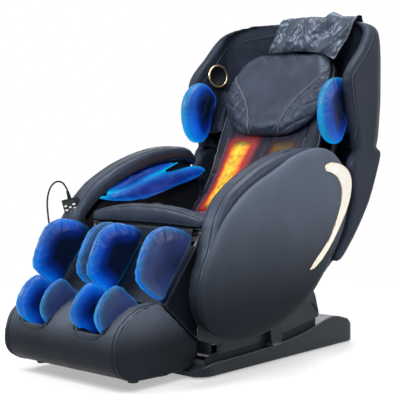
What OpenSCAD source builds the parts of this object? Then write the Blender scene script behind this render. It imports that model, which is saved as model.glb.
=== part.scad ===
// Massage chair: base, arms, tilting seat, reclining back with a massage carriage, lifting leg rest.
// Millimetres. +Z up, the sitter faces -Y, +X is the sitter's left, the floor is z = 0.

/* [Base] */
// Half width of the base covers
base_half = 293; // [280:1:300]
// Wall of the base covers
base_wall = 6; // [4:0.5:9]
// Height of the rubber floor pads
floor_pad_h = 6; // [4:0.5:9]
// Radius of the rubber floor pads
floor_pad_r = 24; // [16:1:30]
// Radius of the rear transport wheels
wheel_r = 30; // [24:1:34]
// Width of a transport wheel
wheel_w = 22; // [16:1:28]
// Radius of the transport wheels' axle
axle_r = 6; // [4:0.5:8]

/* [Side panels and arms] */
// Inner face of the oval side panels, from the middle
panel_in = 349; // [347:0.5:352]
// Outer face of the oval side panels, from the middle
panel_out = 377; // [372:1:384]
// Wall of the side panels
panel_wall = 5; // [4:0.5:7]
// Inner face of the arm frames, from the middle
arm_in = 300; // [296:1:306]
// Outer face of the arm frames, from the middle
arm_out = 328; // [322:1:329]
// Depth of the recess that holds a trim blade
trim_seat = 12; // [8:1:16]
// How far a trim blade stands proud of its recess
trim_proud = 4; // [2:0.5:6]
// Thickness of the armrest pads
rest_h = 58; // [46:1:64]
// Depth of the arm air cushions
arm_bag_depth = 34; // [24:1:36]

/* [Seat] */
// Half width of the seat cushion and the back pad
seat_half = 250; // [236:1:251]
// Thickness of the seat cushion
seat_h = 70; // [56:1:78]
// Radius of the main pivot pins
pivot_r = 10; // [8:0.5:13]
// Radial clearance of every turning fit
run_gap = 0.08; // [0.04:0.01:0.1]
// Radius of the leg rest's hinge pins
leg_pin_r = 7; // [5:0.5:8]
// Radius of the seat frame's cross tubes
tube_r = 14; // [11:0.5:16]

/* [Back] */
// Half width of the back shell at the wings
wing_half = 377; // [370:1:382]
// Thickness of a wing
wing_t = 44; // [36:1:50]
// Outer face of the shell's lower cheeks, from the middle
cheek_out = 344; // [342:0.5:346]
// Wall of the shell's lower cheeks
cheek_t = 11; // [8:0.5:13]
// Half distance between the carriage's guide rails
rail_half = 150; // [135:1:165]
// Radius of the guide rails
rail_r = 9; // [7:0.5:11]
// Radius of the massage rollers
roller_r = 30; // [25:1:33]
// Width of a massage roller
roller_w = 26; // [20:1:32]
// Half distance between the two kneading arms
knead_half = 62; // [55:1:75]
// Radius of the massage rollers' pins
roller_pin_r = 5; // [4:0.5:7]
// Radius of a speaker's rim
speaker_r = 44; // [36:1:48]

/* [Leg rest] */
// Half width of the leg rest
leg_half = 250; // [236:1:252]
// Droop of the calves below level
droop = 50; // [48:0.5:52]
// Wall of the leg rest's shells
leg_wall = 8; // [6:0.5:11]
// Half width of one leg channel
channel_half = 68; // [60:1:72]
// Distance of a leg channel's middle from the middle of the chair
channel_mid = 124; // [120:1:130]
// Depth of the calf and foot air cushions at the sides
leg_bag_depth = 40; // [30:1:44]
// Radius of the telescopic tubes
slide_r = 9; // [7:0.5:11]
// Radius of the foot roller's lobes
foot_lobe_r = 17; // [13:1:19]
// Radius of the leg rest's rubber feet
leg_foot_r = 19; // [14:1:24]

/* [Remote control] */
// Length of the remote control
remote_l = 186; // [170:1:200]
// Width of the remote control
remote_w = 62; // [54:1:68]
// Thickness of the remote control
remote_t = 20; // [16:0.5:24]
// Diameter of the remote control's cable
cable_d = 6; // [5:0.5:7]

/* [Hidden] */
$fn = 48;
seam = 0.3;              // gap left between neighbouring pieces
pivot = [130, 290];      // main pivot of seat and back, y and z
leg_pivot = [-310, 440]; // hinge of the leg rest, y and z
leg_zero = [-290, 330];  // datum of the leg rest's own axes, y and z
rail_foot = [259, 549];  // a point of the back pad's rear plane, y and z
rail_lean = 26.1;        // lean of that plane from upright
carriage_z = 600;        // height of the massage carriage at rest

// ---------- curves and lofts ----------
function mean(v) = [for (i = v) 1 / len(v)] * v;
function turn(a) = [cos(a), sin(a)];
function mix(a, b, t) = a + (b - a) * t;
function catmull(a, b, c, d, t) =
    0.5 * (2 * b + (c - a) * t + (2 * a - 5 * b + 4 * c - d) * t * t + (3 * b - a - 3 * c + d) * t * t * t);
// A smooth closed outline through a few hand-picked points, n pieces between two of them.
function closed(p, n = 4) = let (m = len(p))
    [for (i = [0:m - 1], j = [0:n - 1])
        catmull(p[(i + m - 1) % m], p[i], p[(i + 1) % m], p[(i + 2) % m], j / n)];
// The same for an open run.
function open(p, n = 4) = let (m = len(p))
    [for (i = [0:m - 2], j = [0:n - 1])
        catmull(p[max(i - 1, 0)], p[i], p[i + 1], p[min(i + 2, m - 1)], j / n), p[m - 1]];
function area(p) = let (n = len(p)) 0.5 * mean([for (i = [0:n - 1]) n * cross(p[i], p[(i + 1) % n])]);
// The outline moved inwards by d, point by point along its own normals.
function inset(p, d) = let (n = len(p), s = sign(area(p)))
    [for (i = [0:n - 1]) let (t = p[(i + 1) % n] - p[(i + n - 1) % n]) p[i] - s * d * [t[1], -t[0]] / norm(t)];
// The outline stood upright at x.
function at_x(p, x) = [for (q = p) [x, q[0], q[1]]];
// A rectangle with arcs at its corners.
function rounded(x0, x1, y0, y1, r, n = 6) = let (
        middle = [(x0 + x1) / 2, (y0 + y1) / 2],
        corners = [[x1, y1, 0], [x0, y1, 90], [x0, y0, 180], [x1, y0, 270]])
    [for (c = corners, i = [0:n])
        [for (k = [0, 1]) c[k] - sign(c[k] - middle[k]) * r] + r * turn(c[2] + 90 * i / n)];

// A closed skin over flat rings of as many points each.
module loft(rings) {
    n = len(rings[0]);
    m = len(rings);
    points = [for (r = rings) each r];
    sides = [for (i = [0:m - 2], j = [0:n - 1]) let (k = (j + 1) % n)
        each [[i * n + j, i * n + k, (i + 1) * n + k], [i * n + j, (i + 1) * n + k, (i + 1) * n + j]]];
    ends = [[for (j = [n - 1:-1:0]) j], [for (j = [0:n - 1]) (m - 1) * n + j]];
    faces = concat(sides, ends);
    volume = [for (f = faces, i = [1:len(f) - 2]) points[f[0]] * cross(points[f[i]], points[f[i + 1]])];
    turned = [for (f = faces) [for (i = [len(f) - 1:-1:0]) f[i]]];
    polyhedron(points, mean(volume) < 0 ? faces : turned, convexity = 8);
}

// A side outline, y and z, pulled across from x0 to x1.
module across(outline, x0, x1)
    translate([x0, 0, 0]) rotate([90, 0, 90]) linear_extrude(x1 - x0) polygon(outline);

module both_sides() {
    children();
    mirror([1, 0, 0]) children();
}

// A cylinder along X.
module bar_x(x0, x1, r, y, z) translate([x0, y, z]) rotate([0, 90, 0]) cylinder(r = r, h = x1 - x0);

// A stuffed pad on an upright face: its seam lies at x0 and its crown at x1.
puff_form = [[0.22, 0], [0.04, 0.14], [0, 0.34], [0.1, 0.62], [0.36, 0.86], [0.78, 0.98]];
module puff(outline, x0, x1, edge, form = puff_form)
    loft([for (f = form) at_x(inset(outline, f[0] * edge), mix(x0, x1, f[1]))]);

// A stuffed pad along a run of stations [y, z, lean, half width, thickness], its underside at the
// station and its outer edge at x1.
function soft(v, power) = sign(v) * pow(abs(v), power);
function pad_ring(s, n, x1) = let (up = [-sin(s[2]), cos(s[2])])
    [for (i = [0:n - 1])
        let (u = turn(360 * i / n), w = s[3] * (soft(u[0], 0.45) - 1), h = s[4] * (0.5 + 0.5 * soft(u[1], 0.7)))
            [x1 + w, s[0] + up[0] * h, s[1] + up[1] * h]];
module run_pad(stations, x1, n = 20) loft([for (s = stations) pad_ring(s, n, x1)]);

// ---------- outlines of the side, y and z ----------
panel_line = [[-459, 265], [-428, 173], [-331, 126], [-220, 118], [-106, 134], [1, 172], [79, 211],
    [170, 295], [262, 404], [304, 522], [298, 595], [259, 650], [194, 693], [107, 702],
    [-4, 678], [-110, 635], [-212, 592], [-285, 549], [-355, 487], [-410, 408], [-446, 337]];
arm_line = [[-420, 272], [-394, 190], [-320, 150], [-220, 140], [-110, 155], [-5, 192], [70, 228],
    [150, 305], [225, 400], [262, 505], [258, 580], [225, 622], [170, 640], [90, 634], [-4, 612],
    [-110, 572], [-205, 530], [-270, 490], [-335, 425], [-385, 360], [-408, 315]];
// the armrest pad's underside, from the arm's front edge up and back:
// [y, z, half width, share of the thickness]
rest_run = [[-372, 158, 22, 0.14], [-397, 188, 28, 0.34], [-416.5, 228, 29, 0.44], [-424.5, 272, 29.5, 0.46],
    [-414, 315, 30, 0.48], [-387.5, 360, 32, 0.51], [-366, 398, 34, 0.56], [-350, 432, 36, 0.64],
    [-328, 468, 38, 0.8], [-300, 498, 40, 0.94], [-262, 528, 41, 1], [-205, 562, 41.3, 1], [-120, 600, 41.3, 1],
    [-20, 630, 41.3, 1], [80, 647, 41.3, 0.96], [170, 650, 39, 0.86], [222, 641, 33, 0.6], [242, 632, 25, 0.3]];
trim_outer = [[134, 638], [146, 648], [173, 653], [220, 647], [256, 633], [279, 614], [290, 589], [289, 557],
    [279, 523], [261, 490], [239, 460], [214, 428], [186, 396], [151, 362], [113, 332], [73, 309]];
trim_inner = [[52, 305], [80, 331], [122, 363], [161, 396], [187, 430], [208, 462], [223, 492], [233, 525],
    [235, 559], [224, 586], [202, 607], [168, 621], [141, 626]];
tray_top = [[-392, 22], [-374, 38], [-330, 45], [-292, 47], [-102, 52], [117, 69], [265, 100], [330, 106],
    [406, 87], [448, 52], [464, 18]];
cover_line = [[-325, 67], [-150, 75], [65, 93], [230, 118], [236, 132], [190, 180], [150, 181], [110, 181],
    [70, 185], [1, 163], [-106, 126], [-220, 110], [-325, 113]];
cheek_line = [[84, 216], [142, 250], [230, 308], [318, 388], [412, 503], [463, 604], [492, 684], [430, 692],
    [352, 680], [322, 640], [330, 560], [295, 440], [215, 330], [150, 262]];

// ---------- base ----------
tray_line = concat(open(tray_top, 2), [[462, floor_pad_h], [-386, floor_pad_h]]);
tray_floor = floor_pad_h + base_wall;
module plan_block(margin, z1)
    linear_extrude(z1)
        polygon(rounded(-base_half + margin, base_half - margin, -392 + margin, 470 - margin, 60));

wheel_x = 219;          // inner face of a transport wheel, from the middle
wheel_z = wheel_r + 1;   // just clear of the floor until the chair is tipped back
module base_tray() color("#17181b") difference() {
    intersection() {
        across(tray_line, -base_half, base_half);
        plan_block(0, 200);
    }
    intersection() {
        across(inset(tray_line, base_wall), -base_half + base_wall, base_half - base_wall);
        plan_block(base_wall, 200);
    }
    // open top for the frame and the cover, and the wheels' slots
    across([[-318, 20], [228, 20], [228, 200], [-318, 200]], -base_half + 24, base_half - 24);
    both_sides() translate([wheel_x - 5, 420 - wheel_r - 6, -1]) cube([wheel_w + 10, 2 * wheel_r + 30, 120]);
    translate([-60, 395, 30]) cube([56, 90, 34]);
}

module base_cover() color("#1b1c20") difference() {
    intersection() {
        across(cover_line, -base_half + 3, base_half - 3);
        translate([0, 0, -1]) linear_extrude(300)
            polygon(rounded(-base_half + 3, base_half - 3, -325, 262, 40));
    }
    across([[-318, 20], [222, 20], [222, 176], [100, 176], [60, 176], [1, 156], [-106, 118], [-220, 102],
        [-318, 104]], -base_half + 3 + base_wall, base_half - 3 - base_wall);
    across([[-318, 60], [222, 60], [222, 240], [-318, 240]], -base_half + 34, base_half - 34);
}

plate_x = [253, 259];   // base frame's uprights, from the middle
beam_h = 34;
module base_frame() color("#3a3d42") {
    difference() {
        both_sides() across([[-300, tray_floor + seam], [215, tray_floor + seam], [215, 70], [165, 180],
            [165, 300], [150, 322], [110, 322], [92, 300], [92, 180], [20, 70], [-300, 46]],
            plate_x[0], plate_x[1]);
        both_sides() bar_x(plate_x[0] - 3, plate_x[1] + 3, pivot_r + run_gap, pivot[0], pivot[1]);
    }
    // brackets that carry the arm frames through the groove of the base
    both_sides() translate([plate_x[1] - 1, -60, 60]) cube([arm_in + 15 - plate_x[1], 40, 8]);
    for (y = [-280, 40, 150])
        translate([-plate_x[0] - 1, y, tray_floor + seam]) cube([2 * plate_x[0] + 2, beam_h, beam_h]);
    both_sides() {
        for (x = [wheel_x - 14, wheel_x + wheel_w + 6])
            translate([x, 180, tray_floor + seam]) cube([8, 260, beam_h]);
        bar_x(wheel_x - 14, wheel_x + wheel_w + 14, axle_r, 420, wheel_z);
    }
}

pads_at = concat([[0, 0]], [for (x = [-235, 235], y = [-320, 300]) [x, y]]);
module floor_pads() color("#0d0d0e") for (p = pads_at)
    translate([p[0], p[1], 0]) cylinder(r1 = floor_pad_r - 2, r2 = floor_pad_r, h = floor_pad_h);

module wheel(side) color("#141415") translate([side * wheel_x, 420, wheel_z]) rotate([0, side * 90, 0])
    rotate_extrude() polygon([[axle_r + run_gap, 0], [axle_r + 8, 0], [axle_r + 10, 3], [wheel_r - 7, 3],
        [wheel_r - 5, 0], [wheel_r - 2, 0], [wheel_r, 2], [wheel_r, wheel_w - 2],
        [wheel_r - 2, wheel_w], [wheel_r - 5, wheel_w], [wheel_r - 7, wheel_w - 3],
        [axle_r + 10, wheel_w - 3], [axle_r + 8, wheel_w], [axle_r + run_gap, wheel_w]]);
module wheel_left() wheel(1);
module wheel_right() wheel(-1);

module control_box() color("#55585d") difference() {
    translate([-170, -190, tray_floor + seam]) cube([340, 200, 52]);
    for (i = [0:9]) translate([-150 + 32 * i, -191, 30]) cube([12, 4, 20]);
}

inlet_x = -32;
inlet_z = [30.3, 63.7];
rocker_at = [437, 47];
module power_inlet() color("#101011") {
    difference() {
        translate([inlet_x - 27.7, 396, inlet_z[0]]) cube([55.4, 54, inlet_z[1] - inlet_z[0]]);
        translate([inlet_x - 24, 432, 36]) cube([25, 30, 22]);
        translate([inlet_x + 7.4, 424, inlet_z[0] + 1.2]) cube([18, 40, inlet_z[1] - inlet_z[0] - 2.4]);
    }
    bar_x(inlet_x + 7, inlet_x + 26, 2, rocker_at[0], rocker_at[1]);
    for (x = [-17, -11.5, -6]) translate([inlet_x + x - 1, 431, 45]) cube([2, 14, 5]);
}
rocker_line = [[8, -13], [5.5, 0], [8, 13], [-5, 11], [-5, -11]];
module power_switch() color("#a02018") difference() {
    across([for (p = rocker_line) rocker_at + p], inlet_x + 8.4, inlet_x + 24.4);
    bar_x(inlet_x, inlet_x + 30, 2 + run_gap, rocker_at[0], rocker_at[1]);
}

// ---------- side panels and arms ----------
panel_form = [[0, 0], [0, 0.25], [0.06, 0.5], [0.2, 0.74], [0.5, 0.92], [0.9, 1]];
panel_edge = 60;
panel_curve = closed(panel_line, 3);
module side_panel_left() color("#3f434c") loft(concat(
    [for (i = [len(panel_form) - 1:-1:0]) let (f = panel_form[i])
        at_x(inset(panel_curve, panel_wall + f[0] * (panel_edge - panel_wall)),
            mix(panel_in, panel_out - panel_wall, f[1]))],
    [for (f = panel_form) at_x(inset(panel_curve, f[0] * panel_edge), mix(panel_in, panel_out, f[1]))]));
module side_panel_right() mirror([1, 0, 0]) side_panel_left();

module accent_trims() color("#efe6d0") {
    both_sides() difference() {
        across(concat(open(trim_outer, 2), open(trim_inner, 2)), panel_out - trim_seat, panel_out + trim_proud);
        puff(inset(panel_curve, -0.4), panel_in + seam, panel_out + seam, panel_edge, panel_form);
    }
    pocket_rim();
}

module arm_frame() color("#232529") {
    across(closed(arm_line, 2), arm_in, arm_out);
    // bosses that carry the side panel, ahead of the moving back
    for (p = [[-300, 300], [-190, 260], [-190, 420]])
        bar_x(arm_out - 1, panel_in - seam, 26, p[0], p[1]);
    // foot that stands on the base frame's bracket
    across([[-66, 68 + seam], [-14, 68 + seam], [10, 210], [-90, 210]], arm_in, arm_in + 14);
}
module arm_frame_left() arm_frame();
module arm_frame_right() difference() {
    mirror([1, 0, 0]) arm_frame();
    pocket_space(0.5);
}

function lean_of(run, i) = let (a = run[max(i - 1, 0)], b = run[min(i + 1, len(run) - 1)])
    atan2(b[1] - a[1], b[0] - a[0]);
module rest_form(grow) run_pad(
    [for (i = [0:len(rest_run) - 1]) let (r = rest_run[i], a = lean_of(rest_run, i))
        [r[0] + sin(a) * grow, r[1] - cos(a) * grow, a, r[2] + grow, rest_h * r[3] + 2 * grow]],
    panel_in - seam + grow);
module armrest_left() color("#3a3e47") rest_form(0);

module armrest_right() difference() {
    mirror([1, 0, 0]) armrest_left();
    pocket_space(4.6);
}

upper_bag = [[-312, 552], [-218, 551], [-121, 560], [-19, 599], [80, 628], [150, 655], [185, 680],
    [150, 700], [60, 688], [-40, 660], [-150, 625], [-250, 590]];
lower_bag = [[-274, 521], [-188, 506], [-37, 507], [122, 545], [225, 572], [275, 592], [292, 615], [240, 632],
    [150, 625], [15, 607], [-138, 566], [-230, 540]];

module arm_bags() color("#1766d6") difference() {
    union() {
        puff(closed(lower_bag, 2), arm_in - seam, arm_in - arm_bag_depth, 34);
        puff(closed([for (p = upper_bag) p - [0, 6]], 2), arm_in - seam, arm_in - arm_bag_depth + 6, 30);
    }
    rest_form(1);
}
module arm_bags_left() arm_bags();
module arm_bags_right() mirror([1, 0, 0]) arm_bags();

module hand_pads() color("#8c8f96") both_sides()
    puff(closed([[-20, 470], [-8, 440], [22, 425], [60, 440], [70, 478], [40, 498], [5, 496]], 3),
        arm_in - seam, arm_in - 26, 26);

// ---------- back ----------
rail_u = [sin(rail_lean), cos(rail_lean)];   // along the rails, y and z
rail_n = [-cos(rail_lean), sin(rail_lean)];  // towards the sitter, y and z
function on_rail(u, off) = rail_foot + u * rail_u + off * rail_n;
function rail_3d(u, off, x) = let (p = on_rail(u, off)) [x, p[0], p[1]];
// Things drawn along +Z with the sitter at -Y are laid along the rails.
module at_rail(u, off) let (p = on_rail(u, off))
    translate([0, p[0], p[1]]) rotate([-rail_lean, 0, 0]) children();

function shell_bulge(z) = 52 * (1 - pow(max(0, (z - 850) / 330), 2));
function wing_ring(k) = let (z = k[0], w = k[1], yf = k[2], yr = k[3], d = yr - yf, r = min(k[4], d * 0.42),
        t = wing_t, tip = min(16, d * 0.3), bulge = shell_bulge(z), yi = yr - min(24, d * 0.45),
        half = concat(
            [for (i = [0:3]) let (q = i / 4) [(w - r) * q, yr + bulge * (1 - q * q)]],
            [for (a = [90, 60, 30, 0]) [w - r, yr - r] + r * turn(a)],
            [[w, yf + tip], [w - t * 0.3, yf], [w - t * 0.72, yf + 1], [w - t, yf + tip]],
            [[w - t, yi - r * 0.4], [w - t - r * 0.5, yi + 4]],
            [[w * 0.4, yi + bulge * 0.7]]))
    [for (p = half) [p[0], p[1], z], [0, yi + bulge * 0.9, z],
        for (i = [len(half) - 1:-1:1]) [-half[i][0], half[i][1], z]];
// sections of the shell: [height, half width, front, rear, corner radius]
wing_keys = [[700, wing_half - 2, 341, 502, 64], [712, wing_half - 1, 338, 505, 65],
    [740, wing_half, 333, 513, 66], [800, wing_half, 314, 522, 68], [865, wing_half, 295, 528, 68],
    [932, wing_half, 282, 528, 68], [984, wing_half, 312, 526, 66], [1039, wing_half - 1, 372, 521, 60],
    [1085, wing_half - 6, 412, 508, 54], [1118, wing_half - 18, 438, 500, 48],
    [1140, wing_half - 48, 448, 494, 40], [1156, wing_half - 108, 454, 488, 34],
    [1168, wing_half - 200, 462, 482, 30]];

// The wings' lower ends, outside the cheeks and behind the side panels
cheek_wrap = [[345, 696], [326, 668], [313, 636], [311, 600], [315, 560], [315, 522], [303, 462], [283, 412],
    [246, 368], [213, 330], [238, 319], [318, 390], [411, 504], [462, 604], [490, 680], [465, 696], [400, 697]];

// The lower rear wall between the cheeks: a thin bowed wall.
wall_keys = [[392, 296, 16], [440, 348, 30], [503, 400, 40], [604, 452, 46], [699.7, 487, 52]];
function wall_ring(k) = let (z = k[0], y = k[1], b = k[2], w = cheek_out - cheek_t - seam,
        arc = [for (i = [-6:6]) let (q = i / 6) [w * q, y + b * (1 - q * q) - (abs(i) == 6 ? 22 : 0)]])
    [for (p = arc) [p[0], p[1], z],
        for (i = [12:-1:0]) [arc[i][0] * (1 - cheek_t / w), arc[i][1] - cheek_t, z]];

module back_shell() color("#343841") {
    loft([for (k = open(wing_keys, 2)) wing_ring(k)]);
    loft([for (k = open(wall_keys, 2)) wall_ring(k)]);
    both_sides() across(closed(cheek_line, 2), cheek_out - cheek_t, cheek_out);
    both_sides() across(closed(cheek_wrap, 2), cheek_out + seam, wing_half);
}

plate_in = 228;   // back frame's pivot plates, from the middle
plate_t = 10;
lever_r = 80;     // recline lever, pivot to pin
lever_a = -98;    // recline lever's direction at rest, from +Y
knee_lever_r = 34;
knee_lever_a = -75;
rail_off = -66;   // guide rails behind the pad's rear plane
rail_ends = [-60, 400];
carriage_u = (carriage_z - rail_foot[1]) / cos(rail_lean);

module back_frame() color("#4a4e55") {
    difference() {
        both_sides() across([[104, 290], [112, 268], [130, 260], [150, 268], [182, 320], [372, 546],
            [384, 572], [352, 580], on_rail(30, 1 - seam), on_rail(-157.5, 1 - seam), [110, 312]],
            plate_in, plate_in + plate_t);
        both_sides() bar_x(plate_in - 2, plate_in + plate_t + 2, pivot_r + run_gap, pivot[0], pivot[1]);
    }
    bar_x(-plate_in, plate_in, 14, pivot[0], pivot[1]);
    for (x = [-18, 18]) translate([x, pivot[0], pivot[1]]) rotate([lever_a, 0, 0])
        translate([-4, 8, -6]) cube([8, lever_r, 12]);
    lever_pin();
    both_sides() {
        // side members
        slanted(plate_in - 9, [362, 556], [503, 900], 11);
        // guide rails
        slanted(rail_half, on_rail(rail_ends[0], rail_off), on_rail(rail_ends[1], rail_off), rail_r);
        // stubs that carry the wings
        bar_x(plate_in - 9, wing_half - wing_t - seam, 9, 451, 772);
    }
    for (u = rail_ends) let (p = on_rail(u, rail_off)) bar_x(-plate_in - 1, plate_in + 1, 11, p[0], p[1]);
}
module lever_pin() let (p = pivot + (lever_r - 4) * turn(lever_a)) bar_x(-22, 22, 6, p[0], p[1]);
module slanted(x, a, b, r) let (d = b - a) translate([x, a[0], a[1]]) rotate([-atan2(d[0], d[1]), 0, 0])
    cylinder(r = r, h = norm(d));

// pad rows: [along, middle height, edge height, half width] over the rear plane
pad_keys = [[-158, 92, 60, 0.92], [-142, 120, 76, 0.975], [-46, 94, 32, 0.985], [41, 75, 22, 0.975],
    [153, 50, 34, 0.97], [261, 26, 46, 0.955], [370, 18, 50, 0.945], [460, 18, 44, 0.885],
    [530, 18, 34, 0.72], [566, 14, 22, 0.48]];
pad_rows = open(pad_keys, 2);
function pad_value(u, i) = lookup(u, [for (r = pad_rows) [r[0], r[i]]]);
function pad_w(u) = pad_value(u, 3) * seat_half;
function pad_off(u, x) = mix(pad_value(u, 1), pad_value(u, 2), min(1, pow(x / pad_w(u), 2)));
pad_edge = [0.45, 0.9];   // share of the height at the pad's edge, and one point in
shoulder_pad = [[348, 750], [372, 800], [405, 880], [422, 918], [436, 918], [441, 880], [436, 800], [420, 750]];
module back_pad() color("#30343c") {
    loft([for (r = pad_rows) let (u = r[0], w = pad_w(u))
        [for (i = [0:14]) let (x = -w * cos(180 * i / 14), from_edge = min(i, 14 - i),
                e = from_edge < 2 ? pad_edge[from_edge] : 1)
            rail_3d(u, 2 + (pad_off(u, x) - 2) * e, x),
         for (q = [0.96, 0.4, -0.4, -0.96]) rail_3d(u, 1, w * q)]]);
    both_sides() puff(closed(shoulder_pad, 3), wing_half - wing_t - seam, seat_half + 4, 26);
}

heat_at = 96;     // middle of each warmed strip, from the middle of the back
heat_half = 50;   // half width of a strip
heat_t = 5;       // its thickness
heat_gap = 0.95;   // over the rows of the pad
heat_rows = [-128, -122, -104, -94, -46, -2.5, 41, 97, 130, 153, 166];
module heat_pad() color("#ff9020") both_sides()
    loft([for (u = heat_rows)
        let (e = sqrt(max(0.02, 1 - pow((u - 19) / 153, 6))), w = heat_half * (0.7 + 0.3 * e))
        [for (i = [0:8]) let (x = heat_at - w * cos(180 * i / 8))
            rail_3d(u, pad_off(u, x) + heat_gap + heat_t * e * sqrt(sin(180 * i / 8) + 0.02), x),
         for (q = [0.6, 0, -0.6]) let (x = heat_at + w * q) rail_3d(u, pad_off(u, x) + heat_gap, x)]]);

// pillow rows: [along, half width, thickness]
pillow_keys = [[180, 62, 8], [192, 118, 30], [234, 180, 46], [292, 219, 54], [360, 236, 56], [420, 231, 54],
    [480, 206, 46], [524, 166, 34], [547, 120, 14]];
pillow_axis = on_rail(553, 30);   // just past the pillow's upper end
pillow_bar_r = 6.5;
pillow_gap = 1.35;   // between the pillow's rows and the pad's; their facets come closer
module head_pillow() color("#3b3f4a") {
    bar_x(-60, 60, pillow_bar_r, pillow_axis[0], pillow_axis[1]);
    loft([for (k = open(pillow_keys, 2)) let (u = k[0], w = k[1])
        [for (i = [0:12]) let (x = -w * cos(180 * i / 12), s = sin(180 * i / 12))
            rail_3d(u, pad_off(u, x) + pillow_gap + 0.2 + k[2] * (0.12 + 0.88 * pow(s, 0.8)), x),
         for (i = [1:5]) let (x = w * cos(30 * i)) rail_3d(u, pad_off(u, x) + pillow_gap, x)]]);
}

// The thin flap over the shell's top: [x, lift, forward] of its folds
flap_folds = [[-86, 0, 0], [-40, 3, 2], [10, 0, -3], [60, 5, 3], [110, 1, -4], [150, 9, 3], [190, 2, -3],
    [230, 16, 2], [262, 3, -2], [292, 1, 0]];
flap_run = [[418, 1086], [428, 1112], [438, 1136], [450, 1161], [464, 1178], [486, 1178], [500, 1162],
    [514, 1136], [522, 1104]];
flap_t = 3.5;
// The flap's rear edge lies on the shell.
shell_rear = [[1085, 510], [1118, 502], [1140, 496], [1156, 490], [1172, 482]];
function behind(x, p) = p[0] < 490 ? p[0] - flap_t
    : lookup(p[1], shell_rear) + shell_bulge(p[1]) * (1 - pow(x / 330, 2)) + 2.5;
// the flap's run from front to rear at one of its folds
function flap_at(f) = [for (i = [0:len(flap_run) - 1]) let (q = sin(180 * i / (len(flap_run) - 1)))
    flap_run[i] + [f[2] * q, (i > 1 ? f[1] * q : 0) - 8 * pow(f[0] / 300, 2)]];
// how thick the flap is at a point of its run: thinner towards the rear edge
function flap_depth(i) = i < 5 ? flap_t * (9 - i) / 5 : 0;
module head_flap() color("#2b2e35")
    loft([for (f = flap_folds) let (run = flap_at(f))
        [for (p = run) [f[0], behind(f[0], p) + flap_t, p[1]],
         for (i = [len(run) - 1:-1:0]) [f[0], behind(f[0], run[i]) + flap_depth(i), run[i][1] - flap_t]]]);

shoulder_line = [[188, 830], [203, 893], [250, 940], [315, 948], [366, 915], [380, 880], [358, 800], [328, 738],
    [298, 712], [245, 716], [203, 760]];
module shoulder_bags() color("#1766d6") both_sides()
    puff(closed(shoulder_line, 3), wing_half - wing_t - seam, seat_half + 34, 36);

speaker_at = [416, 976];
function oval(c, ry, rz, n = 32) = [for (i = [0:n - 1]) c + [ry * cos(360 * i / n), rz * sin(360 * i / n)]];
speaker_face = wing_half - wing_t - 0.9;   // just inside the wing, which leans in above
rim_w = 6;
module speaker_oval(less, x0, x1) across(oval(speaker_at, speaker_r * 1.1 - less, speaker_r - less), x0, x1);
module speakers() color("#d9b776") both_sides() {
    difference() {
        speaker_oval(0, speaker_face - 8, speaker_face);
        speaker_oval(rim_w, speaker_face - 9, speaker_face + 1);
    }
    difference() {
        speaker_oval(rim_w + seam, speaker_face - 5, speaker_face);
        for (i = [-3:3])
            translate([speaker_face - 6, speaker_at[0] - 29 + abs(i) * 4, speaker_at[1] + i * 9 - 1.5])
                cube([3, 58 - abs(i) * 8, 3]);
    }
}

// ---------- massage carriage ----------
arm_off = -46;
module carriage() color("#6a6e75") {
    at_rail(carriage_u, 0) difference() {
        union() {
            both_sides() translate([rail_half, -rail_off, -42]) cylinder(r = rail_r + 7, h = 84);
            translate([-rail_half, -rail_off - 4, -26]) cube([2 * rail_half, 12, 52]);
            both_sides() translate([40, -arm_off - 12, -14]) cube([10, -rail_off + arm_off + 12, 28]);
            both_sides() translate([110, -rail_off - 16, -30]) cube([22, 14, 60]);
        }
        both_sides() translate([rail_half, -rail_off, -50]) cylinder(r = rail_r + run_gap, h = 100);
    }
    let (p = on_rail(carriage_u, arm_off)) bar_x(-69, 69, 8, p[0], p[1]);
}
knead_l = 58;
module kneading_arm() color("#c9ccd1") let (p = on_rail(carriage_u, arm_off)) {
    difference() {
        at_rail(carriage_u, arm_off) {
            translate([knead_half - 6, -9, -knead_l]) cube([12, 18, 2 * knead_l]);
            for (s = [-1, 1])
                translate([knead_half - 6, 0, s * knead_l]) rotate([0, 90, 0]) cylinder(r = 11, h = 12);
        }
        bar_x(knead_half - 8, knead_half + 8, 8 + run_gap, p[0], p[1]);
    }
    for (s = [-1, 1]) let (q = on_rail(carriage_u + s * knead_l, arm_off))
        bar_x(knead_half + 5, knead_half + 6 + roller_w + 4, roller_pin_r, q[0], q[1]);
}
module kneading_arm_left() kneading_arm();
module kneading_arm_right() mirror([1, 0, 0]) kneading_arm();
module roller(s) color("#e8e4da") let (q = on_rail(carriage_u + s * knead_l, arm_off))
    translate([knead_half + 7, q[0], q[1]]) rotate([0, 90, 0]) rotate_extrude()
        polygon(concat([[roller_pin_r + run_gap, 0], [roller_r - 9, 0]],
            [for (i = [0:8]) let (a = -80 + 20 * i)
                [roller_r - 9 + 9 * cos(a), roller_w / 2 + roller_w / 2 * sin(a)]],
            [[roller_r - 9, roller_w], [roller_pin_r + run_gap, roller_w]]));
module roller_upper_left() roller(1);
module roller_lower_left() roller(-1);
module roller_upper_right() mirror([1, 0, 0]) roller(1);
module roller_lower_right() mirror([1, 0, 0]) roller(-1);

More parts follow.
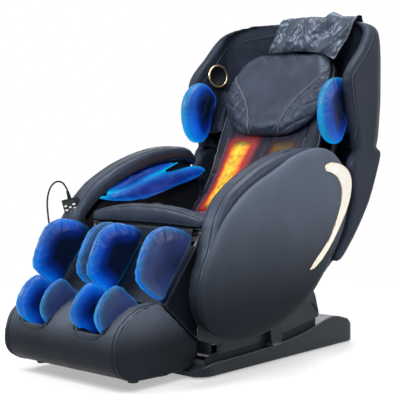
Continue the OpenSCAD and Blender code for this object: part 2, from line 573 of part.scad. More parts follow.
// ---------- seat ----------
seat_front = [-262, 440];
seat_rear = [100, 379.3];
seat_lean = atan2(seat_rear[1] - seat_front[1], seat_rear[0] - seat_front[0]);
front_tube = [-215, 345];
rear_tube = [40, 352];
function on_seat(y) = seat_front[1] + (y - seat_front[0]) * tan(seat_lean);
module seat_frame() color("#45494f") {
    difference() {
        both_sides() across([[-325, 440], [-319, 451], [-302, 454], [-285, 443], [-262, 438], [100, 378],
            [128, 314], [150, 303], [152, 276], [122, 266], [60, 322], [-190, 322], [-240, 336], [-285, 395],
            [-319, 427]], 240, seat_half);
        both_sides() bar_x(238, 255, leg_pin_r + run_gap, leg_pivot[0], leg_pivot[1]);
    }
    both_sides() bar_x(plate_in + 1, plate_x[1] + 1, pivot_r, pivot[0], pivot[1]);
    bar_x(-240, 240, tube_r, front_tube[0], front_tube[1]);
    bar_x(-240, 240, tube_r, rear_tube[0], rear_tube[1]);
    across([for (p = [[-258, 4], [100, 4], [100, 0], [-258, 0]]) [p[0], on_seat(p[0]) - p[1]]], -240, 240);
    // front strip under the band and the skirt
    across([[-326.7, 452], [-292, 452], [-292, 455.7], [-326.7, 455.7]], -seat_half, seat_half);
}
seat_up = [-sin(seat_lean), cos(seat_lean)];
// rows of the cushion, front to rear: [share of the length, of the width, of the height]
seat_rows = [[0, 0.90, 0.55], [0.04, 0.975, 0.92], [0.2, 1, 1], [0.4, 1, 0.97], [0.6, 1, 0.94],
    [0.8, 1, 0.95], [0.95, 0.985, 0.9], [1, 0.93, 0.5]];
// its cross profile, over half its width: raised sides, two sewn channels, rounded edges
seat_half_row = [0, 0.2, 0.38, 0.43, 0.46, 0.49, 0.54, 0.75, 0.93, 1];
seat_across = concat([for (i = [9:-1:1]) -seat_half_row[i]], seat_half_row);
function seat_top(q) = 0.86 + 0.16 * q * q - 0.09 * exp(-pow((abs(q) - 0.46) * seat_half / 9, 2));
function seat_edge(q) = abs(q) == 1 ? 0.55 : abs(q) == 0.93 ? 0.9 : 1;
module seat_cushion() color("#2c3037")
    loft([for (r = seat_rows)
        let (s = mix(seat_front, seat_rear, r[0]), w = (seat_half - 1) * r[1])
        [for (q = seat_across) let (p = s + seat_up * (4 + seat_h * r[2] * seat_top(q) * seat_edge(q)))
            [q * w, p[0], p[1]],
         for (q = [0.9, 0, -0.9]) let (p = s + seat_up * 0.6) [q * w, p[0], p[1]]]]);
band_y = [-338, -271];
band_z = 456;
band_h = [32, 34];   // height of the band's ends, and how far its middle arches over them
module seat_band() color("#3a3e47")
    loft([for (i = [-9:9])
        let (q = i / 9, h = band_h[0] + band_h[1] * (1 - pow(abs(q), 2.2)), e = abs(i) == 9 ? 0.72 : 1,
            c = (band_y[0] + band_y[1]) / 2, w = (band_y[1] - band_y[0]) / 2)
        [for (j = [0:13]) let (u = turn(360 * j / 14))
            [q * (seat_half - 1), c + w * e * soft(u[0], 0.6),
                band_z + h * (0.5 + 0.5 * e * soft(u[1], 0.7))]]]);
module seat_skirt() color("#3d3d40")
    loft([for (i = [-15:15]) let (x = 215 * i / 15, f = 2.6 * sin(i * 137), g = 2.2 * sin(i * 71 + 40))
        [[x, -327, 455.6], [x, -344 + f * 0.4, 452], [x, -345 + f, 415], [x, -344.5 + g, 375],
         [x, -345 + f * 0.8, 334], [x, -341 + f * 0.8, 334], [x, -340.5 + g, 375], [x, -341 + f, 415],
         [x, -339, 446], [x, -327, 450]]]);

// ---------- actuators ----------
recline_pin = pivot + (lever_r - 4) * turn(lever_a);
recline_dir = [-0.9, 0.436];
rod_end = 224;
rod_travel = 48;
function recline_at(d) = recline_pin + d * recline_dir;
knee_pin = leg_pivot + knee_lever_r * turn(knee_lever_a);
knee_dir = [-0.991, 0.13];
function knee_at(d) = knee_pin - d * knee_dir;
module recline_actuator() color("#2f3236") difference() {
    union() {
        slanted(0, recline_at(120), recline_at(300), 15);
        slanted(0, recline_at(232), recline_at(330), 24);
        slanted(38, recline_at(250), recline_at(330), 17);
        translate([14, recline_at(290)[0] - 14, recline_at(290)[1] - 18]) cube([26, 28, 28]);
        translate([-9, front_tube[0] - 8, front_tube[1] + tube_r + seam]) cube([18, 54, 18]);
    }
    slanted(0, recline_at(110), recline_at(rod_end + rod_travel + 2), 9 + run_gap);
}
module recline_rod() color("#b9bdc2") {
    slanted(0, recline_at(29), recline_at(rod_end), 9);
    difference() {
        union() {
            bar_x(-10, 10, 18, recline_pin[0], recline_pin[1]);
            translate([0, recline_pin[0], recline_pin[1]])
                rotate([-atan2(recline_dir[0], recline_dir[1]), 0, 0])
                    translate([-9.6, -11, 6]) cube([19.2, 22, 26]);
        }
        bar_x(-12, 12, 11, recline_pin[0], recline_pin[1]);
    }
}
knee_x = -110;
module knee_actuator() color("#2f3236") difference() {
    union() {
        slanted(knee_x, knee_at(90), knee_at(230), 13);
        slanted(knee_x, knee_at(180), knee_at(262), 18);
        translate([knee_x - 8, front_tube[0] - 10, front_tube[1] + tube_r + seam]) cube([16, 20, 26]);
    }
    slanted(knee_x, knee_at(80), knee_at(176), 7 + run_gap);
}
module knee_rod() color("#b9bdc2") difference() {
    union() {
        slanted(knee_x, knee_at(6), knee_at(172), 7);
        bar_x(knee_x - 7, knee_x + 7, 11, knee_pin[0], knee_pin[1]);
    }
    bar_x(knee_x - 9, knee_x + 9, 7.5, knee_pin[0], knee_pin[1]);
}

// ---------- leg rest, in its own axes: s down the calves, t towards the sitter's shins ----------
leg_s = [-cos(droop), -sin(droop)];
leg_t = [-sin(droop), cos(droop)];
function st(p) = leg_zero + p[0] * leg_s + p[1] * leg_t;
function leg(list) = [for (p = list) st(p)];
module on_leg(x, s, t, r, l) slanted(x, st([s, t]), st([s + l, t]), r);
module leg_block(x0, x1, s0, s1, t0, t1) across(leg([[s0, t0], [s1, t0], [s1, t1], [s0, t1]]), x0, x1);
hinge_st = [(leg_pivot - leg_zero) * leg_s, (leg_pivot - leg_zero) * leg_t];
guide_x = 205;
guide_t = 60;
calf_end = 208.5;
// the arm from the hinge down to the guide tube
leg_arm = [hinge_st + [-9, -6], hinge_st + [-6, 9], [40, guide_t + 14], [88, guide_t + 10], [88, guide_t - 10],
    [40, guide_t - 12]];
module leg_frame() color("#4a4e55") {
    bar_x(-238.7, 238.7, 11, leg_pivot[0], leg_pivot[1]);
    both_sides() {
        bar_x(238, seat_half, leg_pin_r, leg_pivot[0], leg_pivot[1]);
        across(leg(leg_arm), 217, 227);
        difference() {
            on_leg(guide_x, 64, guide_t, 13, 140);
            on_leg(guide_x, 60, guide_t, slide_r + run_gap, 150);
        }
    }
    both_sides() leg_block(guide_x - 4, 219, 66, 86, guide_t - 12, guide_t - 9.5);
    for (x = [-16, 10]) translate([knee_x + x, leg_pivot[0], leg_pivot[1]]) rotate([knee_lever_a, 0, 0])
        translate([0, 6, -5]) cube([6, knee_lever_r, 10]);
    bar_x(knee_x - 16, knee_x + 16, 4, knee_pin[0], knee_pin[1]);
}
calf_line = [[-14, 100], [12, 76], [110, -6], [200, -82], [calf_end, -84], [calf_end, 105], [180, 105],
    [-14, 105]];
module calf_shell() color("#2b2e35") difference() {
    across(leg(calf_line), -leg_half, leg_half);
    across(leg([[20, 97], [26, 78], [112, 6], [196, -66], [calf_end - leg_wall, -66],
        [calf_end - leg_wall, 97]]), -leg_half + leg_wall, leg_half - leg_wall);
    both_sides() across(leg([[-60, 40], [60, 20], [90, 20], [90, 97], [-60, 97]]), 215.5, 228.5);
    both_sides() on_leg(guide_x, 190, guide_t, 15, 40);
}
pod_form = [[0.86, 0], [0.34, 0.07], [0.08, 0.22], [0, 0.47], [0.07, 0.72], [0.32, 0.92], [0.84, 1]];
calf_bag_line = [[-36, 136], [10, 113], [100, 106.2], [165, 106.2], [200, 112], [212, 160], [211, 235],
    [157, 270], [77, 282], [24, 257], [-10, 211]];
module calf_bags() color("#1766d6") both_sides() {
    puff(leg(closed(calf_bag_line, 2)), leg_half, leg_half - leg_bag_depth, 22, pod_form);
    puff(leg(closed(calf_bag_line, 2)), 5, 5 + leg_bag_depth * 0.9, 22, pod_form);
}
// the foot section's outline: its straight front face, then the curve round its under side
foot_face = [213, -92];
foot_bow = open([[213, 124], [270, 182], [350, 212], [405, 200], [446, 172], [462, 138], [456, 95], [433, 53],
    [360, -38], [296, -106], [272, -115], [240, -114]], 2);
foot_side = [[221, -106], [300, -96], [352, -36], [420, 52], [444, 98], [448, 138], [434, 166], [398, 191],
    [352, 202], [276, 174], [221, 120]];
well = [channel_mid - channel_half, channel_mid + channel_half];
roller_st = [388, 92];
// the chamber under and ahead of the wells
foot_under = [[221, -106], [300, -96], [352, -36], [420, 52], [444, 98], [440, 140], [412, 150], [411, 60],
    [396, 24], [378, 14], [221, 14]];
well_line = [[190, 24], [380, 24], [398, 40], [404, 70], [404, 130], [392, 175], [370, 240], [190, 240]];
module foot_shell() color("#343841") difference() {
    across(leg(concat([foot_face], foot_bow)), -leg_half, leg_half);
    across(leg(foot_under), -leg_half + leg_wall, leg_half - leg_wall);
    both_sides() across(leg(foot_side), well[1] + leg_wall, leg_half - leg_wall);
    across(leg(foot_side), -well[0] + leg_wall, well[0] - leg_wall);
    bar_x(-well[1] - 14, well[1] + 14, 6 + run_gap, st(roller_st)[0], st(roller_st)[1]);
    both_sides() {
        across(leg(well_line), well[0], well[1]);
        across(leg(oval(roller_st, foot_lobe_r + 3, foot_lobe_r + 3, 24)), well[0] + 4, well[1] - 4);
    }
}
module foot_roller() color("#b5b0a4") let (c = st(roller_st)) {
    bar_x(-well[1] - 13, well[1] + 13, 6, c[0], c[1]);
    both_sides() for (i = [0:4]) translate([well[0] + 12 + i * (2 * channel_half - 46) / 4, c[0], c[1]])
        rotate([72 * i, 0, 0]) rotate([90, 0, 90]) linear_extrude(22)
            polygon([for (k = [0:15]) foot_lobe_r * (0.84 + 0.16 * cos(45 * k)) * turn(22.5 * k)]);
}
module foot_slides() color("#b9bdc2") both_sides() {
    on_leg(guide_x, 70, guide_t, slide_r, 141);
    leg_block(guide_x - 16, guide_x + 16, 209.5, 212.7, guide_t - 16, guide_t + 16);
}
foot_bag_line = [[228, 92], [300, 70], [362, 92], [384, 140], [380, 195], [376, 232], [352, 264], [300, 275],
    [250, 262], [224, 226]];
module foot_bags() color("#1766d6") both_sides() {
    puff(leg(closed(foot_bag_line, 2)), well[1] - seam, well[1] - leg_bag_depth, 26);
    puff(leg(closed(foot_bag_line, 2)), well[0] + seam, well[0] + leg_bag_depth * 0.7, 26);
}
leg_foot_at = [205, -592, 20];
module leg_feet() color("#0d0d0e") both_sides() translate(leg_foot_at)
    cylinder(r1 = leg_foot_r - 3, r2 = leg_foot_r, h = 11);

// ---------- remote control in its pocket ----------
remote_mouth = [-313, -352, 462];  // middle of the pocket's mouth
remote_tip = [6, -14, 20];         // lean back, lean outwards, turn
remote_up = 70;                    // how far the remote stands out of its pocket
pocket_d = remote_l - remote_up + 5;
module in_pocket() translate(remote_mouth) rotate(remote_tip) children();
module slab(grow, z0, z1) let (w = remote_w / 2 + grow, t = remote_t / 2 + grow)
    translate([0, 0, z0]) linear_extrude(z1 - z0) polygon(rounded(-w, w, -t, t, t - 1, 5));
// the face's outline, moved in from the body's
module face_plan(less, h) linear_extrude(h)
    polygon(rounded(-remote_w / 2 + less, remote_w / 2 - less, remote_up - remote_l + less,
        remote_up - less, 5));
module pocket_space(grow) in_pocket() slab(5 + grow, -pocket_d - grow, 60);
module remote_pocket() color("#141518") in_pocket() difference() {
    slab(4.4, -pocket_d, 0);
    slab(2, -pocket_d + 4.6, 1);
}
module pocket_rim() in_pocket() difference() {
    slab(9, seam, 6);
    slab(2.2, -1, 7);
}
module remote_body() color("#101114") in_pocket() difference() {
    slab(0, remote_up - remote_l, remote_up);
    face_at(0, 0, face_in) face_plan(7 - seam, 4);
    for (h = [[0, 0, 14.6], [0, 26, 5.9]]) face_at(h[0], h[1], -6) cylinder(r = h[2], h = 8);
}
// the remote's face: x across, z up its length, the children's +Z pointing out of the face
module face_at(x, z, out) translate([x, -remote_t / 2 - out, z]) rotate([90, 0, 0]) children();
face_in = -1.6;      // where the face plate's back lies
key = [5.4, 3.2];    // half width and half height of a key
keys = concat([for (x = [-16, 0, 16]) [x, -31, key[0], key[1]]],
    [for (z = [-15, 17, 34, 48], x = [-16, 16]) [x, z, key[0], key[1]]], [[0, 41, 4.6, 3]]);
module key_hole(k, grow) let (w = k[2] + grow, h = k[3] + grow) linear_extrude(9, center = true)
    polygon(rounded(k[0] - w, k[0] + w, k[1] - h, k[1] + h, 2.6 + grow, 4));
module remote_face() color("#07080a") in_pocket() face_at(0, 0, 0) difference() {
    translate([0, 0, face_in + 0.1]) face_plan(7, 1.9);
    for (k = keys) key_hole(k, 0.4);
    for (h = [[0, 0, 14], [0, 26, 5.3]]) translate([h[0], h[1], -4]) cylinder(r = h[2], h = 8);
}
module remote_keypad() color("#d8dade") in_pocket() face_at(0, 0, 0) for (k = keys)
    intersection() {
        key_hole(k, 0);
        translate([-50, -100, face_in + 0.1]) cube([100, 200, 2.8]);
    }
module remote_dpad() color("#c9ccd1") in_pocket() face_at(0, 0, -4.6) difference() {
    cylinder(r = 13.4, h = 5.9);
    translate([0, 0, -1]) cylinder(r = 6.4, h = 9);
}
module remote_ok_key() color("#e9ebee") in_pocket() face_at(0, 0, -4.6) cylinder(r = 5.9, h = 6.2);
module remote_power_key() color("#c3271d") in_pocket() face_at(0, 26, -4.6) cylinder(r = 4.8, h = 6);
module remote_relief() color("#0c0c0d") in_pocket() translate([0, 0, remote_up + 0.02]) {
    cylinder(r1 = 6.5, r2 = 3.9, h = 28);
    for (i = [0:4]) translate([0, 0, 3 + 5 * i]) cylinder(r = 6.9 - 0.45 * i, h = 2.4);
}

// The cable: from the strain relief up and over, down behind the leg rest, and round to its gland.
function spun(v, a) = let (
        y = v[1] * cos(a[0]) - v[2] * sin(a[0]),
        z0 = v[1] * sin(a[0]) + v[2] * cos(a[0]),
        x = v[0] * cos(a[1]) + z0 * sin(a[1]),
        z = -v[0] * sin(a[1]) + z0 * cos(a[1]))
    [x * cos(a[2]) - y * sin(a[2]), x * sin(a[2]) + y * cos(a[2]), z];
relief_l = 28;
pocket_up = spun([0, 0, 1], remote_tip);
relief_top = remote_mouth + (remote_up + relief_l + 0.05) * pocket_up;
cable_way = [[-341, -384, 584], [-350, -406, 586], [-356, -426, 564], [-356, -438, 524],
    [-350, -440, 475], [-344, -438, 420], [-341, -443, 360], [-340, -456, 305], [-340, -461, 262],
    [-340, -452, 220], [-340, -428, 175], [-340, -396, 130], [-342, -352, 66], [-344, -310, 34],
    [-344, -262, 34], [-340, -228, 58], [-329, -213, 80]];
gland_at = [-base_half + 3, -212, 86];
gland_l = 16;
module cable_gland() color("#0c0c0d") translate(gland_at - [gland_l, 0, 0]) rotate([0, 90, 0]) difference() {
    union() {
        cylinder(r = 6, h = gland_l);
        translate([0, 0, gland_l - 5]) cylinder(r = 10, h = 5);
        for (i = [0:2]) translate([0, 0, 1.5 + 3 * i]) cylinder(r = 6.8, h = 1.5);
    }
    translate([0, 0, -1]) cylinder(r = cable_d / 2 + 0.1, h = 1);
}
function unit(v) = v / norm(v);
cable_points = open(concat([relief_top, relief_top + cable_d * pocket_up], cable_way,
    [gland_at - [gland_l + cable_d, 0, 0], gland_at - [gland_l + 0.05, 0, 0]]), 4);
function tangent(p, i) = i == 0 ? pocket_up : i == len(p) - 1 ? [1, 0, 0] : unit(p[i + 1] - p[i - 1]);
// One side vector per ring, carried along without twist.
function carried(p, i, v) = let (t = tangent(p, i), w = unit(v - (v * t) * t))
    i == len(p) - 1 ? [w] : concat([w], carried(p, i + 1, w));
module remote_cable() color("#0b0b0c") let (p = cable_points, side = carried(p, 0, [0.3, 1, 0.2]))
    loft([for (i = [0:len(p) - 1]) [for (j = [0:7]) p[i] + cable_d / 2
        * (cos(45 * j) * side[i] + sin(45 * j) * cross(tangent(p, i), side[i]))]]);

base_tray();
base_cover();
base_frame();
floor_pads();
wheel_left();
wheel_right();
control_box();
power_inlet();
power_switch();
side_panel_left();
side_panel_right();
accent_trims();
arm_frame_left();
arm_frame_right();
armrest_left();
armrest_right();
arm_bags_left();
arm_bags_right();
hand_pads();
remote_pocket();
cable_gland();
remote_body();
remote_face();
remote_keypad();
remote_dpad();
remote_ok_key();
remote_power_key();
remote_relief();
remote_cable();
seat_frame();
seat_cushion();
seat_band();
seat_skirt();
knee_actuator();
knee_rod();
recline_actuator();
recline_rod();
back_frame();
back_shell();
back_pad();
heat_pad();
head_pillow();
head_flap();
shoulder_bags();
speakers();
carriage();
kneading_arm_left();
kneading_arm_right();
roller_upper_left();
roller_lower_left();
roller_upper_right();
roller_lower_right();
leg_frame();
calf_shell();
calf_bags();
foot_shell();
foot_slides();
foot_bags();
foot_roller();
leg_feet();
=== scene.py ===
"""Massage chair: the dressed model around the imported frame."""
import math

import bmesh
import bpy
import numpy as np
from mathutils import Matrix, Vector, noise
from mathutils.bvhtree import BVHTree


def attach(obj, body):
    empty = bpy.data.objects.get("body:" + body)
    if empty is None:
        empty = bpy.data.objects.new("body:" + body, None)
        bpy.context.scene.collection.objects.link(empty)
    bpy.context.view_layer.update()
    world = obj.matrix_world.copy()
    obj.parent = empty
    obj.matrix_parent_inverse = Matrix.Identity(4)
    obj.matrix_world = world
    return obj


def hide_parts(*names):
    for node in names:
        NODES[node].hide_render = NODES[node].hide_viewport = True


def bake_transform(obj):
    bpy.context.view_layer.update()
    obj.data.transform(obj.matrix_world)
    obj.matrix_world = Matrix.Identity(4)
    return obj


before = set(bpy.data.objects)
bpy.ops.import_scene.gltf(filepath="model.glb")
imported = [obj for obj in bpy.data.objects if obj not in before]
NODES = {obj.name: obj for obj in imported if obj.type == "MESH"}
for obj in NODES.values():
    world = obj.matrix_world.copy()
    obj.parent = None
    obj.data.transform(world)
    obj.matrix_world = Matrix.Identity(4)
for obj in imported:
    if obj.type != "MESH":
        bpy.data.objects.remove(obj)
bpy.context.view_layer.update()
scene = bpy.context.scene
scene.view_settings.view_transform = "Standard"
MM = 0.001
WHITE = (1.0, 1.0, 1.0, 1.0)
FILL = 0.20   # the room's light on the chair from all round
SIDES = ((1, "left"), (-1, "right"))
LENS, CAM_PLACE, CAM_TILT, CAM_TURN = 94.2, (2.3615, -2.741, 0.742), 86.5, 41.4
# name, place, aim, size and power
LAMPS = [("key_left", (-1.5, -2.9, 2.7), (0.0, -0.2, 0.5), (1.5, 1.5), 135),
         ("side_rear", (3.0, 1.5, 2.1), (0.35, -0.1, 0.6), (0.9, 1.2), 36),
         ("side_front", (2.0, -2.4, 3.0), (0.2, 0.0, 0.5), (1.0, 1.0), 85),
         ("top", (0.1, 0.2, 3.2), (0.0, 0.1, 0.6), (1.6, 1.6), 74),
         ("back", (-1.4, 2.6, 2.0), (0.0, 0.2, 0.8), (1.2, 1.2), 36)]
FLOOR_NEAR, FLOOR_FAR = 0.75, 1.9   # the floor turns white between these distances from the chair's middle


# ---------- camera, floor and light ----------
def put_camera():
    data = bpy.data.cameras.new("camera")
    data.lens = LENS
    data.sensor_width = 36.0
    data.clip_end = 50.0
    cam = bpy.data.objects.new("camera", data)
    cam.location = CAM_PLACE
    cam.rotation_euler = (math.radians(CAM_TILT), 0.0, math.radians(CAM_TURN))
    scene.collection.objects.link(cam)
    scene.camera = cam


def lamp(name, place, aim, size, power):
    data = bpy.data.lights.new(name, "AREA")
    data.shape = "RECTANGLE"
    data.size, data.size_y = size
    data.energy = power
    ob = bpy.data.objects.new(name, data)
    ob.location = place
    ob.rotation_euler = (Vector(aim) - Vector(place)).to_track_quat("-Z", "Y").to_euler()
    scene.collection.objects.link(ob)


def add(nt, kind, *terms, **values):
    """A shader node. Terms fill its inputs in order; values fill inputs by name, or are its settings."""
    n = nt.nodes.new("ShaderNode" + kind)
    given = list(zip(n.inputs, terms))
    for name, value in values.items():
        label = name.replace("_", " ")
        if label in n.inputs:
            given.append((n.inputs[label], value))
        else:
            setattr(n, name, value)
    for socket, value in given:
        if isinstance(value, bpy.types.NodeSocket):
            nt.links.new(value, socket)
        else:
            socket.default_value = value
    return n


def seen_rays(nt):
    """1 for camera, glossy and transmission rays, 0 for the rest."""
    path = add(nt, "LightPath").outputs
    last = path["Is Camera Ray"]
    for kind in ("Is Glossy Ray", "Is Transmission Ray"):
        last = add(nt, "Math", last, path[kind], operation="MAXIMUM").outputs[0]
    return last


def light_room():
    world = bpy.data.worlds.new("studio")
    world.use_nodes = True
    scene.world = world
    nt = world.node_tree
    back = nt.nodes["Background"].inputs
    bright = add(nt, "MapRange", Value=seen_rays(nt), To_Min=FILL, To_Max=1.0)
    back["Color"].default_value = WHITE
    nt.links.new(bright.outputs["Result"], back["Strength"])
    for row in LAMPS:
        lamp(*row)


def make_floor():
    """A pale floor that keeps the chair's shadow and runs out into white."""
    bm = bmesh.new()
    bmesh.ops.create_grid(bm, x_segments=2, y_segments=2, size=14.0)
    me = bpy.data.meshes.new("floor")
    bm.to_mesh(me)
    bm.free()
    ob = bpy.data.objects.new("floor", me)
    scene.collection.objects.link(ob)
    mat = bpy.data.materials.new("pale_floor")
    mat.use_nodes = True
    nt = mat.node_tree
    shader = nt.nodes["Principled BSDF"]
    shader.inputs["Base Color"].default_value = (0.93, 0.93, 0.94, 1.0)
    shader.inputs["Roughness"].default_value = 0.6
    glow = add(nt, "Emission", Color=WHITE, Strength=1.0)
    away = add(nt, "VectorMath", add(nt, "TexCoord").outputs["Object"], operation="LENGTH")
    far = add(nt, "MapRange", interpolation_type="SMOOTHSTEP", Value=away.outputs["Value"], From_Min=FLOOR_NEAR,
              From_Max=FLOOR_FAR, To_Min=0.42)
    share = add(nt, "Math", seen_rays(nt), far.outputs["Result"], operation="MULTIPLY")
    mix = add(nt, "MixShader", share.outputs[0], shader.outputs[0], glow.outputs[0])
    nt.links.new(mix.outputs[0], nt.nodes["Material Output"].inputs["Surface"])
    ob.data.materials.append(mat)


# ---------- finishes ----------
# Low and High are the heights of a painted shade that darkens a colour towards the floor
SURFACE_INPUTS = [("Dark", "Color", (0, 0, 0, 1)), ("Light", "Color", WHITE), ("Rough", "Float", 0.5),
                  ("Relief", "Float", 0.3), ("Scale", "Float", 1.0), ("Low", "Float", -2.0), ("High", "Float", -1.0)]
# painted shade: the share of a colour left at the floor end of its painted darkening
LOW_PAINTED_SHADE = 0.12   # what is left of a colour at the lower end of its fall


def surface_group(name, cell, cell_low, cloud, fleck, weave=False):
    """Colour, roughness and normal of a surface with a fine relief of scale cell and a variation of scale cloud;
    fleck is the relief's share in the colour."""
    g = bpy.data.node_groups.new(name, "ShaderNodeTree")
    for label, kind, value in SURFACE_INPUTS:
        g.interface.new_socket(label, in_out="INPUT", socket_type="NodeSocket" + kind).default_value = value
    for label, kind in (("Color", "Color"), ("Roughness", "Float"), ("Normal", "Vector")):
        g.interface.new_socket(label, in_out="OUTPUT", socket_type="NodeSocket" + kind)
    given, out = g.nodes.new("NodeGroupInput").outputs, g.nodes.new("NodeGroupOutput").inputs
    place = add(g, "TexCoord").outputs["Object"]
    at = add(g, "VectorMath", place, operation="SCALE", Scale=given["Scale"]).outputs[0]
    if weave:
        waves = [add(g, "TexWave", bands_direction=way, Scale=scale, Distortion=0.4, Vector=at).outputs["Fac"]
                 for way, scale in (("DIAGONAL", cell), ("Z", cell * 0.8))]
        fine = add(g, "Math", *waves, operation="MULTIPLY").outputs[0]
    else:
        fine = add(g, "TexVoronoi", feature="SMOOTH_F1", Scale=cell, Smoothness=0.4, Vector=at).outputs["Distance"]
    soft = add(g, "TexNoise", Scale=cloud, Detail=4.0, Roughness=0.55, Vector=at).outputs["Fac"]
    low = add(g, "MapRange", Value=fine, From_Min=cell_low, From_Max=0.75).outputs[0]
    tone = add(g, "MapRange", Value=soft, From_Min=0.3, From_Max=0.75).outputs[0]
    broad = add(g, "Math", tone, 1.0 - fleck, operation="MULTIPLY").outputs[0]
    blend = add(g, "Math", low, fleck, broad, operation="MULTIPLY_ADD").outputs[0]
    mix = add(g, "Mix", blend, data_type="RGBA")
    g.links.new(given["Dark"], mix.inputs[6])
    g.links.new(given["Light"], mix.inputs[7])
    # painted shade: the colour darkens towards the floor between the heights Low and High
    height = add(g, "SeparateXYZ", place).outputs["Z"]
    rise = add(g, "MapRange", interpolation_type="SMOOTHSTEP", Value=height, From_Min=given["Low"],
               From_Max=given["High"], To_Min=LOW_PAINTED_SHADE).outputs["Result"]
    painted_shade_colour = add(g, "VectorMath", mix.outputs[2], operation="SCALE", Scale=rise).outputs[0]
    rough = add(g, "Math", tone, 0.12, given["Rough"], operation="MULTIPLY_ADD").outputs[0]
    bump = add(g, "Bump", Distance=0.0006, Strength=given["Relief"], Height=fine).outputs["Normal"]
    for label, value in (("Color", painted_shade_colour), ("Roughness", rough), ("Normal", bump)):
        g.links.new(value, out[label])
    return g


def finish(name, group, dark, light, rough, relief, scale=1.0, painted_glow=None, fall=None, **sockets):
    """A Principled material fed by one of the surface groups. Its glow argument names a painted colour layer that
    shines as painted glow; fall gives the two heights between which the colour deepens towards the floor, a painted
    shade."""
    mat = bpy.data.materials.new(name)
    mat.use_nodes = True
    nt = mat.node_tree
    shader = nt.nodes["Principled BSDF"].inputs
    g = add(nt, "Group", node_tree=group)
    given = {"Dark": (*dark, 1), "Light": (*light, 1), "Rough": rough, "Relief": relief, "Scale": scale}
    if fall:
        given["Low"], given["High"] = fall
    for label, value in given.items():
        g.inputs[label].default_value = value
    for label, end in (("Color", "Base Color"), ("Roughness", "Roughness"), ("Normal", "Normal")):
        nt.links.new(g.outputs[label], shader[end])
    # painted glow: the named colour layer shines as emission, though the part is no lamp
    if painted_glow:
        paint_layer = add(nt, "Attribute", attribute_name=painted_glow)
        nt.links.new(paint_layer.outputs["Color"], shader["Emission Color"])
        shader["Emission Strength"].default_value = 1.0
    for label, value in sockets.items():
        shader[label.replace("_", " ")].default_value = value
    return mat


HIDE = surface_group("hide_grain", 520.0, 0.1, 9.0, 0.35)
MOULD = surface_group("moulded_plastic", 1500.0, 0.1, 6.0, 0.2)
CLOTH = surface_group("woven_cloth", 420.0, 0.0, 14.0, 0.6, weave=True)
METAL = surface_group("worked_metal", 900.0, 0.1, 22.0, 0.3)


def cool(level):
    """A weak bluish shine."""
    return {"Specular_IOR_Level": level, "Specular_Tint": (0.62, 0.78, 1.0, 1.0)}


SATIN = cool(0.22)
leather = finish("slate_leather", HIDE, (0.012, 0.0155, 0.026), (0.030, 0.037, 0.056), 0.34, 0.35, **SATIN)
# painted shade: the arm leather darkens towards the floor
leather_arm = finish("arm_leather", HIDE, (0.014, 0.018, 0.030), (0.036, 0.044, 0.066), 0.34, 0.35,
                     fall=(0.10, 0.56), **SATIN)
# painted light and shade: a much lighter copy of the slate leather for the light on the foot shell, darker towards
# the floor
leather_low = finish("foot_leather", HIDE, (0.060, 0.072, 0.096), (0.104, 0.120, 0.155), 0.34, 0.35,
                     fall=(0.11, 0.25), **cool(0.05))
leather_shell = finish("shell_leather", HIDE, (0.010, 0.013, 0.021), (0.024, 0.030, 0.046), 0.34, 0.30,
                       **cool(0.10))
# painted glow: the back leather shines red round the heated strips
leather_lit = finish("back_leather", HIDE, (0.005, 0.006, 0.011), (0.013, 0.016, 0.026), 0.38, 0.35,
                     painted_glow="painted_halo_glow", **cool(0.14))
leather_thin = finish("flap_leather", HIDE, (0.014, 0.018, 0.029), (0.032, 0.039, 0.058), 0.27, 0.30, **cool(0.5))
leather_dark = finish("black_leather", HIDE, (0.003, 0.0035, 0.006), (0.009, 0.011, 0.017), 0.42, 0.35, **SATIN)
# painted shade: the side panels darken towards the floor
panel_slate = finish("panel_slate", MOULD, (0.066, 0.080, 0.108), (0.094, 0.113, 0.150), 0.36, 0.10,
                     fall=(0.17, 0.62), **cool(0.035))
black_plastic = finish("black_plastic", MOULD, (0.007, 0.008, 0.010), (0.014, 0.016, 0.020), 0.40, 0.2, **SATIN)
base_plastic = finish("base_plastic", MOULD, (0.010, 0.012, 0.015), (0.020, 0.023, 0.028), 0.38, 0.2, **SATIN)
grey_plastic = finish("grey_plastic", MOULD, (0.10, 0.105, 0.115), (0.15, 0.155, 0.165), 0.45, 0.2)
rubber = finish("black_rubber", MOULD, (0.006, 0.006, 0.007), (0.015, 0.015, 0.016), 0.62, 0.4, **SATIN)
cream = finish("pearl_cream", MOULD, (0.70, 0.66, 0.58), (0.84, 0.82, 0.77), 0.2, 0.05, Coat_Weight=0.4)
gold = finish("pale_gold", METAL, (0.62, 0.46, 0.24), (0.84, 0.70, 0.46), 0.24, 0.1, Metallic=0.85)
steel_dark = finish("painted_steel", METAL, (0.030, 0.033, 0.039), (0.055, 0.059, 0.067), 0.42, 0.25)
steel = finish("ground_steel", METAL, (0.42, 0.43, 0.45), (0.62, 0.63, 0.65), 0.26, 0.2, Metallic=0.9)
ivory = finish("ivory_roller", MOULD, (0.62, 0.58, 0.48), (0.78, 0.74, 0.64), 0.4, 0.2)
red = finish("red_key", MOULD, (0.40, 0.015, 0.010), (0.58, 0.03, 0.02), 0.35, 0.1)
key_grey = finish("key_grey", MOULD, (0.50, 0.52, 0.55), (0.68, 0.70, 0.73), 0.42, 0.15)
gloss = finish("gloss_black", MOULD, (0.004, 0.004, 0.005), (0.007, 0.007, 0.009), 0.10, 0.02)
mesh_cloth = finish("grey_mesh", CLOTH, (0.035, 0.036, 0.040), (0.12, 0.125, 0.135), 0.7, 0.7, **SATIN)
dish_black = finish("speaker_cloth", CLOTH, (0.004, 0.004, 0.005), (0.018, 0.018, 0.021), 0.6, 0.6, **SATIN)
skirt_cloth = finish("skirt_cloth", CLOTH, (0.004, 0.005, 0.007), (0.016, 0.018, 0.024), 0.40, 0.2, **SATIN)
